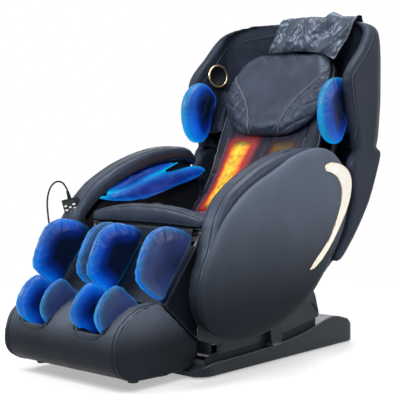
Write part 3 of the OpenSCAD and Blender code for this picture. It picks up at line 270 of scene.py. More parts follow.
# painted glow: the air cushions shine with the colour layer painted on them
glowing_air_blue = finish("glowing_air_blue", CLOTH, (0.001, 0.003, 0.010), (0.002, 0.006, 0.022), 0.30, 0.12, painted_glow="painted_glow",
                  Specular_IOR_Level=0.2)
# painted glow: the heated strips shine with the colour layer painted on them
heat_painted_glow = finish("heat_cloth_painted_glow", CLOTH, (0.008, 0.004, 0.003), (0.020, 0.009, 0.006), 0.5, 0.2, painted_glow="painted_glow",
              Specular_IOR_Level=0.2)
seam_grey = finish("seam_thread", HIDE, (0.035, 0.04, 0.05), (0.07, 0.08, 0.095), 0.5, 0.2, scale=3.0, **SATIN)
piping_grey = finish("pale_piping", HIDE, (0.06, 0.067, 0.08), (0.12, 0.13, 0.15), 0.4, 0.2, scale=3.0, **SATIN)

NODE_FINISH = [
    (base_plastic, "base_tray base_cover"),
    (black_plastic, "control_box power_inlet arm_frame_left arm_frame_right remote_pocket remote_body"),
    (rubber, "floor_pads wheel_left wheel_right cable_gland remote_relief leg_feet"),
    (gloss, "remote_face"),
    (key_grey, "remote_keypad remote_dpad remote_ok_key"),
    (red, "power_switch remote_power_key"),
    (grey_plastic, "knee_actuator recline_actuator"),
    (steel_dark, "base_frame seat_frame back_frame leg_frame carriage"),
    (steel, "knee_rod recline_rod kneading_arm_left kneading_arm_right foot_slides"),
    (ivory, "roller_upper_left roller_lower_left roller_upper_right roller_lower_right foot_roller"),
    (cream, "accent_trims"),
]


def repaint(node, mat):
    ob = NODES[node]
    if not ob.data.materials:
        ob.data.materials.append(mat)
    for slot in ob.material_slots:
        slot.material = mat


# ---------- shapes ----------
def merged(node):
    bm = bmesh.new()
    bm.from_mesh(NODES[node].data)
    bmesh.ops.remove_doubles(bm, verts=bm.verts, dist=2e-5)
    bmesh.ops.recalc_face_normals(bm, faces=bm.faces)
    return bm


def placed(name, bm, mat, body, stands_for=()):
    me = bpy.data.meshes.new(name)
    bm.to_mesh(me)
    bm.free()
    ob = bpy.data.objects.new(name, me)
    scene.collection.objects.link(ob)
    ob.data.materials.append(mat)
    if body:
        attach(ob, body)
    if stands_for:
        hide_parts(*stands_for)
    return ob


def settle(ob):
    """Applies the modifiers."""
    mats = list(ob.data.materials)
    dg = bpy.context.evaluated_depsgraph_get()
    me = bpy.data.meshes.new_from_object(ob.evaluated_get(dg))
    ob.modifiers.clear()
    ob.data = me
    me.materials.clear()
    for m in mats:
        me.materials.append(m)
    smooth(ob)


def smooth(ob):
    ob.data.polygons.foreach_set("use_smooth", [True] * len(ob.data.polygons))


def voxels(ob, size):
    m = ob.modifiers.new("skin", "REMESH")
    m.mode = "VOXEL"
    m.voxel_size = size
    settle(ob)


def thicken(ob, thickness, offset=0):
    wall = ob.modifiers.new("wall", "SOLIDIFY")
    wall.thickness = thickness
    wall.offset = offset


def grid_mesh(rows, cols):
    """A mesh grid and its points, ordered along its rows one column after the other."""
    bm = bmesh.new()
    bmesh.ops.create_grid(bm, x_segments=rows - 1, y_segments=cols - 1, size=0.5)
    return bm, sorted(bm.verts, key=lambda v: (round(v.co.y, 5), round(v.co.x, 5)))


def coords(ob):
    co = np.empty(len(ob.data.vertices) * 3, np.float32)
    ob.data.vertices.foreach_get("co", co)
    return co.reshape(-1, 3).astype(float)


def move_to(ob, co):
    ob.data.vertices.foreach_set("co", np.ascontiguousarray(co, np.float32).ravel())
    ob.data.update()


def normals(ob):
    n = np.empty(len(ob.data.vertices) * 3, np.float32)
    ob.data.vertex_normals.foreach_get("vector", n)
    return n.reshape(-1, 3).astype(float)


def relax(ob, rounds, keep=-0.53):
    """Smooths the skin; the second step of each round undoes the shrinking of the first."""
    e = np.empty(len(ob.data.edges) * 2, np.int32)
    ob.data.edges.foreach_get("vertices", e)
    a, b = e.reshape(-1, 2).T
    co = coords(ob)
    count = len(co)
    neighbours = np.maximum(np.bincount(a, minlength=count) + np.bincount(b, minlength=count), 1)[:, None]
    for _ in range(rounds):
        for step in (0.5, keep):
            total = np.stack([np.bincount(a, co[b, k], count) + np.bincount(b, co[a, k], count) for k in range(3)], 1)
            co = co + step * (total / neighbours - co)
    move_to(ob, co)


def noise_at(co, scale, shift=0.0):
    return np.array([noise.noise(Vector(q)) for q in co * scale + shift])


def steps(x, lo, hi):
    t = np.clip((x - lo) / (hi - lo), 0, 1)
    return t * t * (3 - 2 * t)


def paint(ob, name, rgb):
    layer = ob.data.color_attributes.new(name, "FLOAT_COLOR", "POINT")
    rgba = np.ones((len(rgb), 4), np.float32)
    rgba[:, :3] = rgb
    layer.data.foreach_set("color", rgba.ravel())


def ramp(t, stops):
    """Colours at t between (place, colour) stops."""
    at = [s[0] for s in stops]
    return np.stack([np.interp(t, at, [s[1][k] for s in stops]) for k in range(3)], 1)


AIR_FRAMES = 20


def swell(ob, cap, slack):
    """Draws the skin in by slack, then fills it with air in a short cloth simulation; no point moves past cap."""
    move_to(ob, coords(ob) - normals(ob) * slack)
    start = coords(ob)
    m = ob.modifiers.new("air", "CLOTH")
    m.settings.quality = 5
    m.settings.use_pressure = True
    m.settings.uniform_pressure_force = 4.0
    m.settings.effector_weights.gravity = 0.0
    m.settings.tension_stiffness = m.settings.compression_stiffness = 12
    m.settings.bending_stiffness = 0.3
    m.collision_settings.use_collision = False
    m.point_cache.frame_start = 1
    m.point_cache.frame_end = AIR_FRAMES
    for f in range(1, AIR_FRAMES + 1):
        scene.frame_set(f)
    settle(ob)
    scene.frame_set(1)
    moved = coords(ob) - start
    length = np.linalg.norm(moved, axis=1, keepdims=True)
    move_to(ob, start + moved * np.minimum(1.0, cap / np.maximum(length, 1e-9)))


def round_line(name, points, radius, resolution):
    """A curve object with a round section through the points."""
    cu = bpy.data.curves.new(name, "CURVE")
    cu.dimensions = "3D"
    cu.bevel_depth = radius
    cu.bevel_resolution = resolution
    cu.use_fill_caps = True
    sp = cu.splines.new("POLY")
    sp.points.add(len(points) - 1)
    for p, q in zip(sp.points, points):
        p.co = (*q, 1.0)
    ob = bpy.data.objects.new(name, cu)
    scene.collection.objects.link(ob)
    return ob


def rod_along(name, points, radius, mat, body, closed=False):
    """A thin round piece that follows points: piping, a seam or a rim."""
    tmp = round_line(name + "_line", points, radius, 2)
    tmp.data.splines[0].use_cyclic_u = closed
    dg = bpy.context.evaluated_depsgraph_get()
    me = bpy.data.meshes.new_from_object(tmp.evaluated_get(dg))
    bpy.data.objects.remove(tmp)
    bm = bmesh.new()
    bm.from_mesh(me)
    bpy.data.meshes.remove(me)
    bmesh.ops.recalc_face_normals(bm, faces=bm.faces)
    ob = placed(name, bm, mat, body)
    smooth(ob)
    return ob


def spline(points, n=6, closed=False):
    """A smooth run through a few points."""
    p = [Vector(q) for q in points]
    m = len(p)
    out = []
    for i in range(m if closed else m - 1):
        if closed:
            a, b, c, d = p[i - 1], p[i], p[(i + 1) % m], p[(i + 2) % m]
        else:
            a, b, c, d = p[max(i - 1, 0)], p[i], p[i + 1], p[min(i + 2, m - 1)]
        for j in range(n):
            t = j / n
            out.append(0.5 * (2 * b + (c - a) * t + (2 * a - 5 * b + 4 * c - d) * t * t
                              + (3 * b - a - 3 * c + d) * t ** 3))
    if not closed:
        out.append(p[-1].copy())
    return out


def flat_run(points, n, closed=False):
    """A smooth run through points of a plane."""
    return np.array([tuple(p)[:2] for p in spline([(a, b, 0) for a, b in points], n, closed)])


# ---------- the remote control's cable ----------
def turned(v, lean, roll, yaw):
    return Matrix.Rotation(math.radians(yaw), 3, "Z") @ (
        Matrix.Rotation(math.radians(roll), 3, "Y") @ (Matrix.Rotation(math.radians(lean), 3, "X") @ Vector(v)))


REMOTE_TURN = (6, -14, 20)
REMOTE_MOUTH = Vector((-0.313, -0.352, 0.462))
REMOTE_UP = turned((0, 0, 1), *REMOTE_TURN)
REMOTE_RISE, RELIEF_RISE = 0.070, 0.028   # the remote above its pocket, its strain relief above that
RELIEF_TOP = REMOTE_MOUTH + (REMOTE_RISE + RELIEF_RISE + 0.00005) * REMOTE_UP
CABLE_WAY = [(-341, -384, 584), (-350, -406, 586), (-356, -426, 564), (-356, -438, 524), (-350, -440, 475),
             (-344, -438, 420), (-341, -443, 360), (-340, -456, 305), (-340, -461, 262), (-340, -452, 220),
             (-340, -428, 175), (-340, -396, 130), (-342, -352, 66), (-344, -310, 34), (-344, -262, 34),
             (-340, -228, 58), (-329, -213, 80)]
GLAND = Vector((-0.290, -0.212, 0.086))


def lay_cable():
    way = [Vector(p) * MM for p in CABLE_WAY]
    ends = [GLAND - Vector((0.022, 0, 0)), GLAND - Vector((0.01605, 0, 0))]
    route = spline([RELIEF_TOP, RELIEF_TOP + 0.006 * REMOTE_UP] + way + ends, 4)
    ob = round_line("remote_lead", route, 0.003, 3)
    ob.data.materials.append(rubber)
    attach(ob, "base")
    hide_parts("remote_cable")


# ---------- the chair's own lines ----------
def curve2(points, n=6, loop=True):
    """A smooth outline through given points in millimetres, as an array in metres."""
    return flat_run(points, n, loop) * MM


def inset(line, d):
    """The closed outline moved inwards by d metres."""
    nxt, prv = np.roll(line, -1, 0), np.roll(line, 1, 0)
    t = nxt - prv
    turn = 0.5 * np.sum(line[:, 0] * nxt[:, 1] - nxt[:, 0] * line[:, 1])
    nrm = np.stack([-t[:, 1], t[:, 0]], 1) / np.linalg.norm(t, axis=1, keepdims=True)
    return line + np.sign(turn) * d * nrm


def distance_to(p, q, points):
    """Distance of points to the line from p to q."""
    d = q - p
    t = np.clip(((points - p) @ d) / max(d @ d, 1e-12), 0, 1)
    return np.linalg.norm(points - p - t[:, None] * d, axis=1)


def depth_in(line, pts):
    """Distance of points to a closed outline, positive inside."""
    best = np.full(len(pts), 1e9)
    inside = np.zeros(len(pts), bool)
    for p, q in zip(line, np.roll(line, -1, 0)):
        best = np.minimum(best, distance_to(p, q, pts))
        cross = ((p[1] > pts[:, 1]) != (q[1] > pts[:, 1]))
        if abs(q[1] - p[1]) > 1e-12:
            inside ^= cross & (pts[:, 0] < (q[0] - p[0]) * (pts[:, 1] - p[1]) / (q[1] - p[1]) + p[0])
    return np.where(inside, best, -best)


def loft_rings(rings, caps=True):
    """A skin drawn out ring by ring from the first one."""
    bm = bmesh.new()
    ring = [bm.verts.new(p) for p in rings[0]]
    edges = [bm.edges.new((ring[i - 1], ring[i])) for i in range(len(ring))]
    if caps:
        bmesh.ops.contextual_create(bm, geom=edges)
    for places in rings[1:]:
        new = bmesh.ops.extrude_edge_only(bm, edges=edges)["geom"]
        found = {tuple(v.co): v for v in new if isinstance(v, bmesh.types.BMVert)}
        ring = [found[tuple(v.co)] for v in ring]
        edges = [bm.edges.get((ring[i - 1], ring[i])) for i in range(len(ring))]
        for v, p in zip(ring, places):
            v.co = p
    if caps:
        bmesh.ops.contextual_create(bm, geom=edges)
    bmesh.ops.recalc_face_normals(bm, faces=bm.faces)
    return bm


def mirrored(ob, name, stands_for=()):
    """The same piece on the other side of the chair."""
    bm = bmesh.new()
    bm.from_mesh(ob.data)
    for v in bm.verts:
        v.co.x = -v.co.x
    bmesh.ops.reverse_faces(bm, faces=bm.faces)
    twin = placed(name, bm, ob.data.materials[0], "base", stands_for)
    smooth(twin)
    return twin


def skinned(node, name, mat, body, voxel, rounds, keep=-0.53):
    """A soft skin over a node's solids."""
    ob = placed(name, merged(node), mat, body, [node])
    voxels(ob, voxel)
    relax(ob, rounds, keep)
    return ob


def turns(n):
    """n angles round a circle."""
    return [2 * math.pi * j / n for j in range(n)]


def rounded(v, power):
    """A cosine or sine bent towards 1, for the outline of a rounded box."""
    return math.copysign(abs(v) ** power, v)


def skin_tree(ob):
    dg = bpy.context.evaluated_depsgraph_get()
    me = ob.evaluated_get(dg).to_mesh()
    tree = BVHTree.FromPolygons([v.co.copy() for v in me.vertices], [tuple(p.vertices) for p in me.polygons])
    ob.evaluated_get(dg).to_mesh_clear()
    return tree


def cast_on(tree, rays, reach, lift=0.0003):
    """Where rays, each a start and a direction, meet a skin, lifted a little off it."""
    hits = [tree.ray_cast(start, way, reach) for start, way in rays]
    return [hit[0] + hit[1] * lift for hit in hits if hit[0] is not None]


def lay_on(tree, points, aim, lift, far=0.2):
    """Points dropped on a skin along aim."""
    return cast_on(tree, [(Vector(p) - aim * far, aim) for p in points], far * 2, lift)


RAIL_FOOT = np.array((0.259, 0.549))
LEAN = math.radians(26.1)   # of the back pad's rails
RAIL_U = np.array((math.sin(LEAN), math.cos(LEAN)))
RAIL_N = np.array((-math.cos(LEAN), math.sin(LEAN)))


def on_back(u, off, x):
    """A point over the back pad's rear plane; millimetres along it, off it and across."""
    p = RAIL_FOOT + u * MM * RAIL_U + off * MM * RAIL_N
    return (x * MM, p[0], p[1])


def to_back(co):
    """Along, off and across, in millimetres, of points given in metres."""
    d = co[:, 1:] - RAIL_FOOT
    return d @ RAIL_U / MM, d @ RAIL_N / MM, co[:, 0] / MM


DROOP = math.radians(50)   # of the leg rest
LEG_ZERO = np.array((-0.290, 0.330))
LEG_S = np.array((-math.cos(DROOP), -math.sin(DROOP)))
LEG_T = np.array((-math.sin(DROOP), math.cos(DROOP)))


def on_leg(s, t, x):
    """A point of the leg rest; millimetres along its frame, off it and across."""
    p = LEG_ZERO + s * MM * LEG_S + t * MM * LEG_T
    return (x * MM, p[0], p[1])


def to_leg(co):
    """Along, off and across, in millimetres, of points given in metres."""
    d = co[:, 1:] - LEG_ZERO
    return d @ LEG_S / MM, d @ LEG_T / MM, co[:, 0] / MM


# place along the back pad, its thickness in the middle and at the edge, its share of the full width
PAD_KEYS = [(-158, 92, 60, 0.92), (-142, 120, 76, 0.975), (-46, 94, 32, 0.985), (41, 75, 22, 0.975),
            (153, 50, 34, 0.97), (261, 26, 46, 0.955), (370, 18, 50, 0.945), (460, 18, 44, 0.885),
            (530, 18, 34, 0.72), (566, 14, 22, 0.48)]


def pad_at(u, i):
    return float(np.interp(u, [k[0] for k in PAD_KEYS], [k[i] for k in PAD_KEYS]))


def pad_off(u, x):
    """Height of the pad's skin over its rear plane."""
    w = pad_at(u, 3) * 250
    t = min(1.0, (x / w) ** 2)
    return pad_at(u, 1) * (1 - t) + pad_at(u, 2) * t


# ---------- side panels, trims and arms ----------
PANEL = curve2([(-459, 265), (-428, 173), (-331, 126), (-220, 118), (-106, 134), (1, 172), (79, 211), (170, 295),
                (262, 404), (304, 522), (298, 595), (259, 650), (194, 693), (107, 702), (-4, 678), (-110, 635),
                (-212, 592), (-285, 549), (-355, 487), (-410, 408), (-446, 337)], 9)


DOME_EDGE, DOME_RISE = 0.060, 0.028   # width of the domed rim of a side panel, and its height
DOME_POWER = 2.8
PANEL_X, CROWN_X, CROWN_RISE = 0.349, 0.377, 0.005   # where the dome starts, and the flatter crown on it


def side_panels():
    """Gently domed satin ovals."""
    outlines = [(inset(PANEL, 0.030), PANEL_X + 0.0005), (inset(PANEL, 0.006), PANEL_X + 0.0002)]
    line, last = PANEL.copy(), 0.0
    for d in (0.0, 0.0004, 0.0012, 0.0025, 0.0045, 0.007, 0.010, 0.014, 0.019, 0.025, 0.032, 0.041, 0.050, DOME_EDGE):
        line = inset(line, d - last)
        if d > 0.004:
            for _ in range(6):
                line = 0.5 * line + 0.25 * (np.roll(line, 1, 0) + np.roll(line, -1, 0))
        last = d
        h = (1 - (1 - d / DOME_EDGE) ** DOME_POWER) ** (1 / DOME_POWER)
        outlines.append((line, PANEL_X + DOME_RISE * h))
    mid = line.mean(0)
    for t in (0.1, 0.22, 0.36, 0.5, 0.64, 0.78, 0.9, 0.97):
        outlines.append((mid + (line - mid) * (1 - t), CROWN_X + CROWN_RISE * (1 - (1 - t) ** 2)))
    rings = [[(x, y, z) for y, z in outline] for outline, x in outlines]
    left = placed("panel_left", loft_rings(rings), panel_slate, "base", ["side_panel_left"])
    smooth(left)
    mirrored(left, "panel_right", ["side_panel_right"])


# y and z of an arm pad's under edge, its half width, its share of the full height
REST_RUN = [(-372, 158, 22, 0.14), (-397, 188, 28, 0.34), (-416.5, 228, 29, 0.44), (-424.5, 272, 29.5, 0.46),
            (-414, 315, 30, 0.48), (-387.5, 360, 32, 0.51), (-366, 398, 34, 0.56), (-350, 432, 36, 0.64),
            (-328, 468, 38, 0.8), (-300, 498, 40, 0.94), (-262, 528, 41, 1), (-205, 562, 41.3, 1),
            (-120, 600, 41.3, 1), (-20, 630, 41.3, 1), (80, 647, 41.3, 0.96), (170, 650, 39, 0.86),
            (222, 641, 33, 0.6), (242, 632, 25, 0.3)]
REST_OUTER, REST_HEIGHT = 348.7, 58


def rest_rings(n=40):
    run = flat_run([(r[0], r[1]) for r in REST_RUN], 5)
    size = flat_run([(r[2], 100 * r[3]) for r in REST_RUN], 5)
    rings = []
    for i in range(len(run)):
        a, b = run[max(i - 1, 0)], run[min(i + 1, len(run) - 1)]
        along = (b - a) / np.linalg.norm(b - a)
        up = np.array((-along[1], along[0]))
        w, h = size[i, 0], REST_HEIGHT * size[i, 1] / 100
        ring = []
        for t in turns(n):
            x = REST_OUTER + w * (rounded(math.cos(t), 0.6) - 1)
            p = run[i] + up * h * (0.5 + 0.5 * rounded(math.sin(t), 0.72))
            ring.append((x * MM, p[0] * MM, p[1] * MM))
        rings.append(ring)
    return rings


def armrests():
    rings = rest_rings()
    left = placed("armrest_pad_left", loft_rings(rings), leather_arm, "base", ["armrest_left"])
    crease(left, 0.0016, 26.0)
    smooth(left)
    right = mirrored(left, "armrest_pad_right", ["armrest_right"])
    # the two sewn lines along the top
    for side, tag in SIDES:
        for k, j in enumerate((9, 13)):
            line = [Vector((side * r[j][0], r[j][1], r[j][2])) for r in rings[2:-2]]
            rod_along("armrest_seam_%s_%d" % (tag, k), line, 0.0013, leather_dark, "base")


def crease(ob, depth, scale, seed=0.0):
    """Soft wrinkles: the skin moves along its normals by cloudy, ridged noise."""
    co, n = coords(ob), normals(ob)
    a = noise_at(co * np.array((1, 0.7, 0.7)), scale, seed)
    b = noise_at(co, scale * 2.3, seed + 7.1)
    h = (0.5 - np.abs(a)) * 0.7 + b * 0.3
    move_to(ob, co + n * ((h - h.mean()) * depth * 2)[:, None])


# ---------- air cushions ----------
# Painted glow of the air cushions: bright azure where the painted light is strongest, through blue to near black
# painted shade in their cores;
# the slate pair are painted shade on faces turned away, and the cyan one a painted bright line along their edges
AZURE, BLUE = (0.0015, 0.24, 0.85), (0.001, 0.085, 0.58)
DEEP, NIGHT = (0.0006, 0.014, 0.17), (0.0004, 0.0018, 0.010)
SLATE_BLUE, SLATE_DEEP = (0.022, 0.040, 0.150), (0.008, 0.013, 0.045)
PAINTED_RIM_LIGHT = (0.002, 0.50, 0.68)
# painted highlight: reach of the painted bright line along a cushion's edge
EDGE_W = 6.0   # reach of the bright line along a cushion's edge


def air_skin(node, name, body, voxel, rounds, cap):
    ob = skinned(node, name, glowing_air_blue, body, voxel, rounds)
    swell(ob, cap=cap, slack=0.0035)
    relax(ob, 3)
    return ob


def blend_colours(a, b, t):
    t = np.clip(t, 0, 1)[:, None]
    return a * (1 - t) + np.array(b) * t


def streaks(co, stretch, scale, shift):
    """1 on fine lines in the skin, less between them."""
    return 1 - np.abs(noise_at(co * np.array(stretch), scale, shift)) * 2


def paint_air(ob, tone, painted_gleam, e):
    """The cushion's painted glow, with painted highlights along its streaks and a painted bright line along its edge.
    """
    paint(ob, "painted_glow", blend_colours(tone + painted_gleam, PAINTED_RIM_LIGHT, np.exp(-np.maximum(e, 0) / EDGE_W)))


def arm_cushions():
    lower = curve2([(-274, 521), (-188, 506), (-37, 507), (122, 545), (225, 572), (275, 592), (292, 615), (240, 632),
                    (150, 625), (15, 607), (-138, 566), (-230, 540)])
    upper = curve2([(-312, 546), (-218, 545), (-121, 554), (-19, 593), (80, 622), (150, 649), (185, 674),
                    (150, 694), (60, 682), (-40, 654), (-150, 619), (-250, 584)])
    for node in ("arm_bags_left", "arm_bags_right"):
        ob = air_skin(node, node + "_skin", "base", 0.0035, 5, 0.006)
        co = coords(ob)
        low, high = depth_in(lower, co[:, 1:]), depth_in(upper, co[:, 1:])
        e = np.maximum(low, high) / MM
        streak = streaks(co, (1.0, 0.35, 1.0), 34.0, 5.0)
        # painted glow: bright azure along the outlines, painted shade deepening inwards, painted highlights along the
        # streaks
        tone = ramp(e + 1.5 * streak, [(0, AZURE), (9, BLUE), (20, (0.001, 0.040, 0.34)), (34, (0.001, 0.020, 0.22))])
        tone = tone * (0.9 + 0.35 * noise_at(co, 9.0))[:, None]
        painted_gleam = np.array((0.05, 0.16, 0.42)) * (np.clip(streak, 0, 1) ** 5 * steps(e, 4, 12) * 0.18)[:, None]
        paint_air(ob, tone, painted_gleam, e)


def shoulder_cushions():
    line = curve2([(188, 830), (203, 893), (250, 940), (315, 948), (366, 915), (380, 880), (358, 800), (328, 738),
                   (298, 712), (245, 716), (203, 760)])
    ob = air_skin("shoulder_bags", "shoulder_cushions", "back", 0.004, 6, 0.008)
    co = coords(ob)
    e = depth_in(line, co[:, 1:]) / MM
    # painted light and shade: the painted glow darkens towards the rear and brightens towards the bottom, with
    # painted highlights along the streaks
    rear = steps(co[:, 1] / MM, 230, 350)
    low = steps(co[:, 2] / MM, 860, 740)
    streak = streaks(co, (1.0, 1.0, 0.4), 24.0, 2.0)
    tone = ramp(e * (0.75 + 0.9 * rear - 0.25 * low) + 1.5 * streak,
                [(0, AZURE), (9, (0.001, 0.13, 0.66)), (24, BLUE), (44, DEEP), (76, NIGHT)])
    tone = tone * (0.8 + 0.55 * noise_at(co, 11.0))[:, None]
    painted_gleam = np.array((0.03, 0.10, 0.30)) * (np.clip(streak, 0, 1) ** 6 * steps(e, 6, 16) * 0.12)[:, None]
    paint_air(ob, tone, painted_gleam, e)


CALF_LINE = [(-36, 136), (10, 113), (100, 107.5), (165, 107.5), (200, 112), (212, 160), (211, 235), (157, 270),
             (77, 282), (24, 257), (-10, 211)]
FOOT_BAG = [(228, 92), (300, 70), (362, 92), (384, 140), (380, 195), (376, 232), (352, 264), (300, 275), (250, 262),
            (224, 226)]


def leg_cushions(node, name, body, outline, outer, inner, crown):
    """Four upright lobes with a painted glow: painted light along the crown, painted shade towards the leg, slate
    painted shade on the faces turned away from it.
    outer and inner are the lobes' places across; crown bounds the part of the outline with painted light."""
    ob = air_skin(node, name, body, 0.004, 6, 0.008)
    co, n = coords(ob), normals(ob)
    s, t, x = to_leg(co)
    st = np.stack([s, t], 1) * MM
    e = np.maximum(depth_in(curve2(outline), st) / MM, 0)
    top = curve2(outline[crown[0]:crown[1]], 6, False)
    d = np.min([distance_to(p, q, st) for p, q in zip(top[:-1], top[1:])], 0) / MM
    is_outer = np.abs(x) > (outer[0] + inner[1]) / 2
    lo, hi = np.where(is_outer, outer[0], inner[0]), np.where(is_outer, outer[1], inner[1])
    share = np.clip(np.where(x > 0, x - lo, x + hi) / np.maximum(hi - lo, 1), 0, 1)
    flank = steps(np.abs(n[:, 0]), 0.45, 0.85)
    to_calf = np.where(is_outer, np.sign(n[:, 0]) != np.sign(x), np.sign(n[:, 0]) == np.sign(x))
    cloud = 4.0 * noise_at(co, 16.0)
    # painted shade: darker away from the crown, and slate on the faces turned from the leg
    inside = ramp(d + cloud, [(0, AZURE), (16, BLUE), (42, DEEP), (70, NIGHT)])
    away = ramp(d + cloud, [(0, (0.004, 0.09, 0.50)), (12, SLATE_BLUE), (62, (0.022, 0.034, 0.115)),
                            (118, SLATE_DEEP)])
    # painted highlights: pale lines beside the crown on the faces turned away
    painted_fold_light = np.exp(-((d - 9) / 2.0) ** 2) * 0.5 + np.exp(-((d - 17) / 2.0) ** 2) * 0.35
    away += np.array((0.05, 0.12, 0.36)) * (painted_fold_light * steps(s, 200, 90))[:, None]
    # painted light across each lobe's front, brighter towards the chair's right
    front = ramp(share + 0.1 * noise_at(co, 20.0), [(0, (0.0015, 0.17, 0.72)), (0.45, (0.001, 0.13, 0.62)),
                                                    (1.0, (0.001, 0.055, 0.42))])
    side = np.where(to_calf[:, None], inside, away)
    tone = front * (1 - flank[:, None]) + side * flank[:, None]
    tone = tone * (0.88 + 0.4 * noise_at(co, 12.0, 3.0))[:, None]
    # painted bright lines along the crown and the edges
    crest_rim_light = np.exp(-share * (hi - lo) / 7.0) * np.exp(-e / 18.0)
    hem = np.exp(-e / EDGE_W) * np.where(to_calf, 0.6, 0.9) * flank
    hem = np.where(n[:, 0] < 0, np.exp(-e / EDGE_W), hem)
    paint(ob, "painted_glow", blend_colours(tone, PAINTED_RIM_LIGHT, np.maximum(crest_rim_light, hem)))


# ---------- back: shell, pad, strip, pillow, flap ----------
WING_EDGE = [(318, 735), (314, 800), (295, 865), (282, 932), (290, 960), (312, 984), (344, 1012), (372, 1039),
             (412, 1085), (438, 1118)]   # the wings' front edge: y and z


def back_shell():
    ob = skinned("back_shell", "shell", leather_shell, "back", 0.006, 14, -0.51)
    tree = skin_tree(ob)
    edge = curve2(WING_EDGE, 8, False)
    way = np.gradient(edge, axis=0)
    way /= np.linalg.norm(way, axis=1, keepdims=True)
    inward = np.stack([way[:, 1], -way[:, 0]], 1)
    # pairs of seams on the outer and the inner faces of the wings, and along the top of the inner wall
    for side, tag in SIDES:
        for k, (into, start, aim) in enumerate(((0.040, 0.300, side), (0.047, 0.300, side),
                                                (0.017, 0.410, -side), (0.024, 0.410, -side))):
            rays = [(Vector((side * start, p[0], p[1])), Vector((aim, 0, 0))) for p in edge + inward * into]
            rod_along("wing_seam_%s_%d" % (tag, k), cast_on(tree, rays, 0.12), 0.0011,
                      (seam_grey, leather_dark)[k % 2], "back")
    for k, drop in enumerate((0.0, 0.007)):
        rays = [(Vector((x, 0.36, 1.132 - drop - 0.30 * x * x)), Vector((0, 1, 0)))
                for x in np.linspace(-0.262, 0.262, 60)]
        rod_along("top_seam_%d" % k, cast_on(tree, rays, 0.2), 0.0011, (seam_grey, leather_dark)[k], "back")


INTO_BACK = Vector((0, -RAIL_N[0], -RAIL_N[1]))
STRIP_AT, STRIP_HALF = 96, 49   # middle and half width of a warmed strip
CHANNELS, CROSS_SEAMS = (24, 170), (-70, 20, 110)   # sewn lines along the pad and across its bolsters


def back_cushion():
    ob = skinned("back_pad", "back_cushion", leather_lit, "back", 0.005, 10)
    swell(ob, cap=0.006, slack=0.004)
    co, n = coords(ob), normals(ob)
    u, _, x = to_back(co)
    on_front = (n @ np.array((0, *RAIL_N))) > 0.3
    groove = np.zeros(len(co))
    for line in CHANNELS:
        groove += 5.0 * np.exp(-((np.abs(x) - line) / 5.0) ** 2)
    for line in CROSS_SEAMS:
        groove += 3.0 * np.exp(-((u - line - 0.10 * np.abs(x)) / 5.0) ** 2) * (np.abs(x) > 170) * (np.abs(x) < 240)
    move_to(ob, co - n * (groove * on_front * MM)[:, None])
    crease(ob, 0.0012, 22.0, 3.0)
    relax(ob, 1)
    u, _, x = to_back(coords(ob))
    # painted glow that spreads red from the heated strips into the leather
    beside = np.maximum(np.abs(np.abs(x) - STRIP_AT) - 40, 0) / 34.0
    ends = np.maximum(np.abs(u - 20) - 130, 0) / 34.0
    glow = np.exp(-(beside ** 2 + ends ** 2) * 1.3) * on_front * (1 - 0.95 * steps(x, -20, 20) * steps(u, 30, 76))
    paint(ob, "painted_halo_glow", glow[:, None] * np.array((0.55, 0.030, 0.005)))
    tree = skin_tree(ob)
    for side in (1, -1):
        piping = [on_back(t, pad_off(t, pad_at(t, 3) * 236), side * pad_at(t, 3) * 236)
                  for t in np.arange(-150, 545, 9.0)]
        stitch = [on_back(t, 60, side * 176) for t in np.arange(-140, 190, 8.0)]
        for name, points, lift, radius in (("piping", piping, 0.0008, 0.0022), ("stitch", stitch, 0.0004, 0.0011)):
            rod_along("back_%s_%d" % (name, side + 1), lay_on(tree, points, INTO_BACK, lift), radius, piping_grey,
                      "back")
    return tree


def warm_strips(tree):
    """Two heated strips, narrow padded ribbons beside the spine, painted to glow yellow in the middle and dark red at
    their sides.
    """
    rows, n = [], 28
    for u in np.arange(-128, 170, 3.0):
        e = math.sqrt(max(0.02, 1 - abs((u - 20) / 152.0) ** 6))
        w = STRIP_HALF * (0.72 + 0.28 * e)
        tuck = sum(2.4 * math.exp(-((u - at) / 5.0) ** 2) for at in (-62, -8, 52, 108))
        ring = []
        for j in range(n + 1):
            q = math.cos(math.pi * j / n)
            ring.append(strip_point(tree, u, STRIP_AT + w * q,
                                    -max(7.0 * e * (1 - q * q) ** 0.5 - tuck * (1 - q ** 4), 0) - 0.4))
        for j in range(1, n // 4):
            ring.append(strip_point(tree, u, STRIP_AT + w * (-1 + 8.0 * j / n) * 0.98, 0.6))
        rows.append(ring)
    bm = loft_rings(rows)
    bmesh.ops.mirror(bm, geom=bm.verts[:] + bm.edges[:] + bm.faces[:], axis="X", merge_dist=0.0)
    bmesh.ops.recalc_face_normals(bm, faces=bm.faces)
    ob = placed("warm_strips", bm, heat_painted_glow, "back", ["heat_pad"])
    smooth(ob)
    crease(ob, 0.0012, 42.0, 11.0)
    co = coords(ob)
    u, _, x = to_back(co)
    side = np.abs(np.abs(x) - STRIP_AT) / STRIP_HALF
    wave = 0.10 * noise_at(co, 30.0)
    # painted glow: yellow along the middle of each strip, dark red at its sides
    tone = ramp(side + wave, [(0, (1.0, 0.66, 0.04)), (0.52, (1.0, 0.50, 0.015)), (0.74, (1.0, 0.24, 0.008)),
                              (0.90, (0.80, 0.07, 0.004)), (1.0, (0.42, 0.018, 0.003))])
    # the painted glow fades at the strips' ends and over the upper part of the strip at positive x
    end = (1 - 0.85 * steps(np.abs(u - 18), 112, 150)) * (1 - 0.9 * steps(x, 0, 5) * steps(u, 40, 84))
    # the painted glow brightens and dims along its folds
    painted_fold_light = 1 + 0.6 * noise_at(co, 55.0, 4.0)
    paint(ob, "painted_glow", tone * (end * painted_fold_light)[:, None])


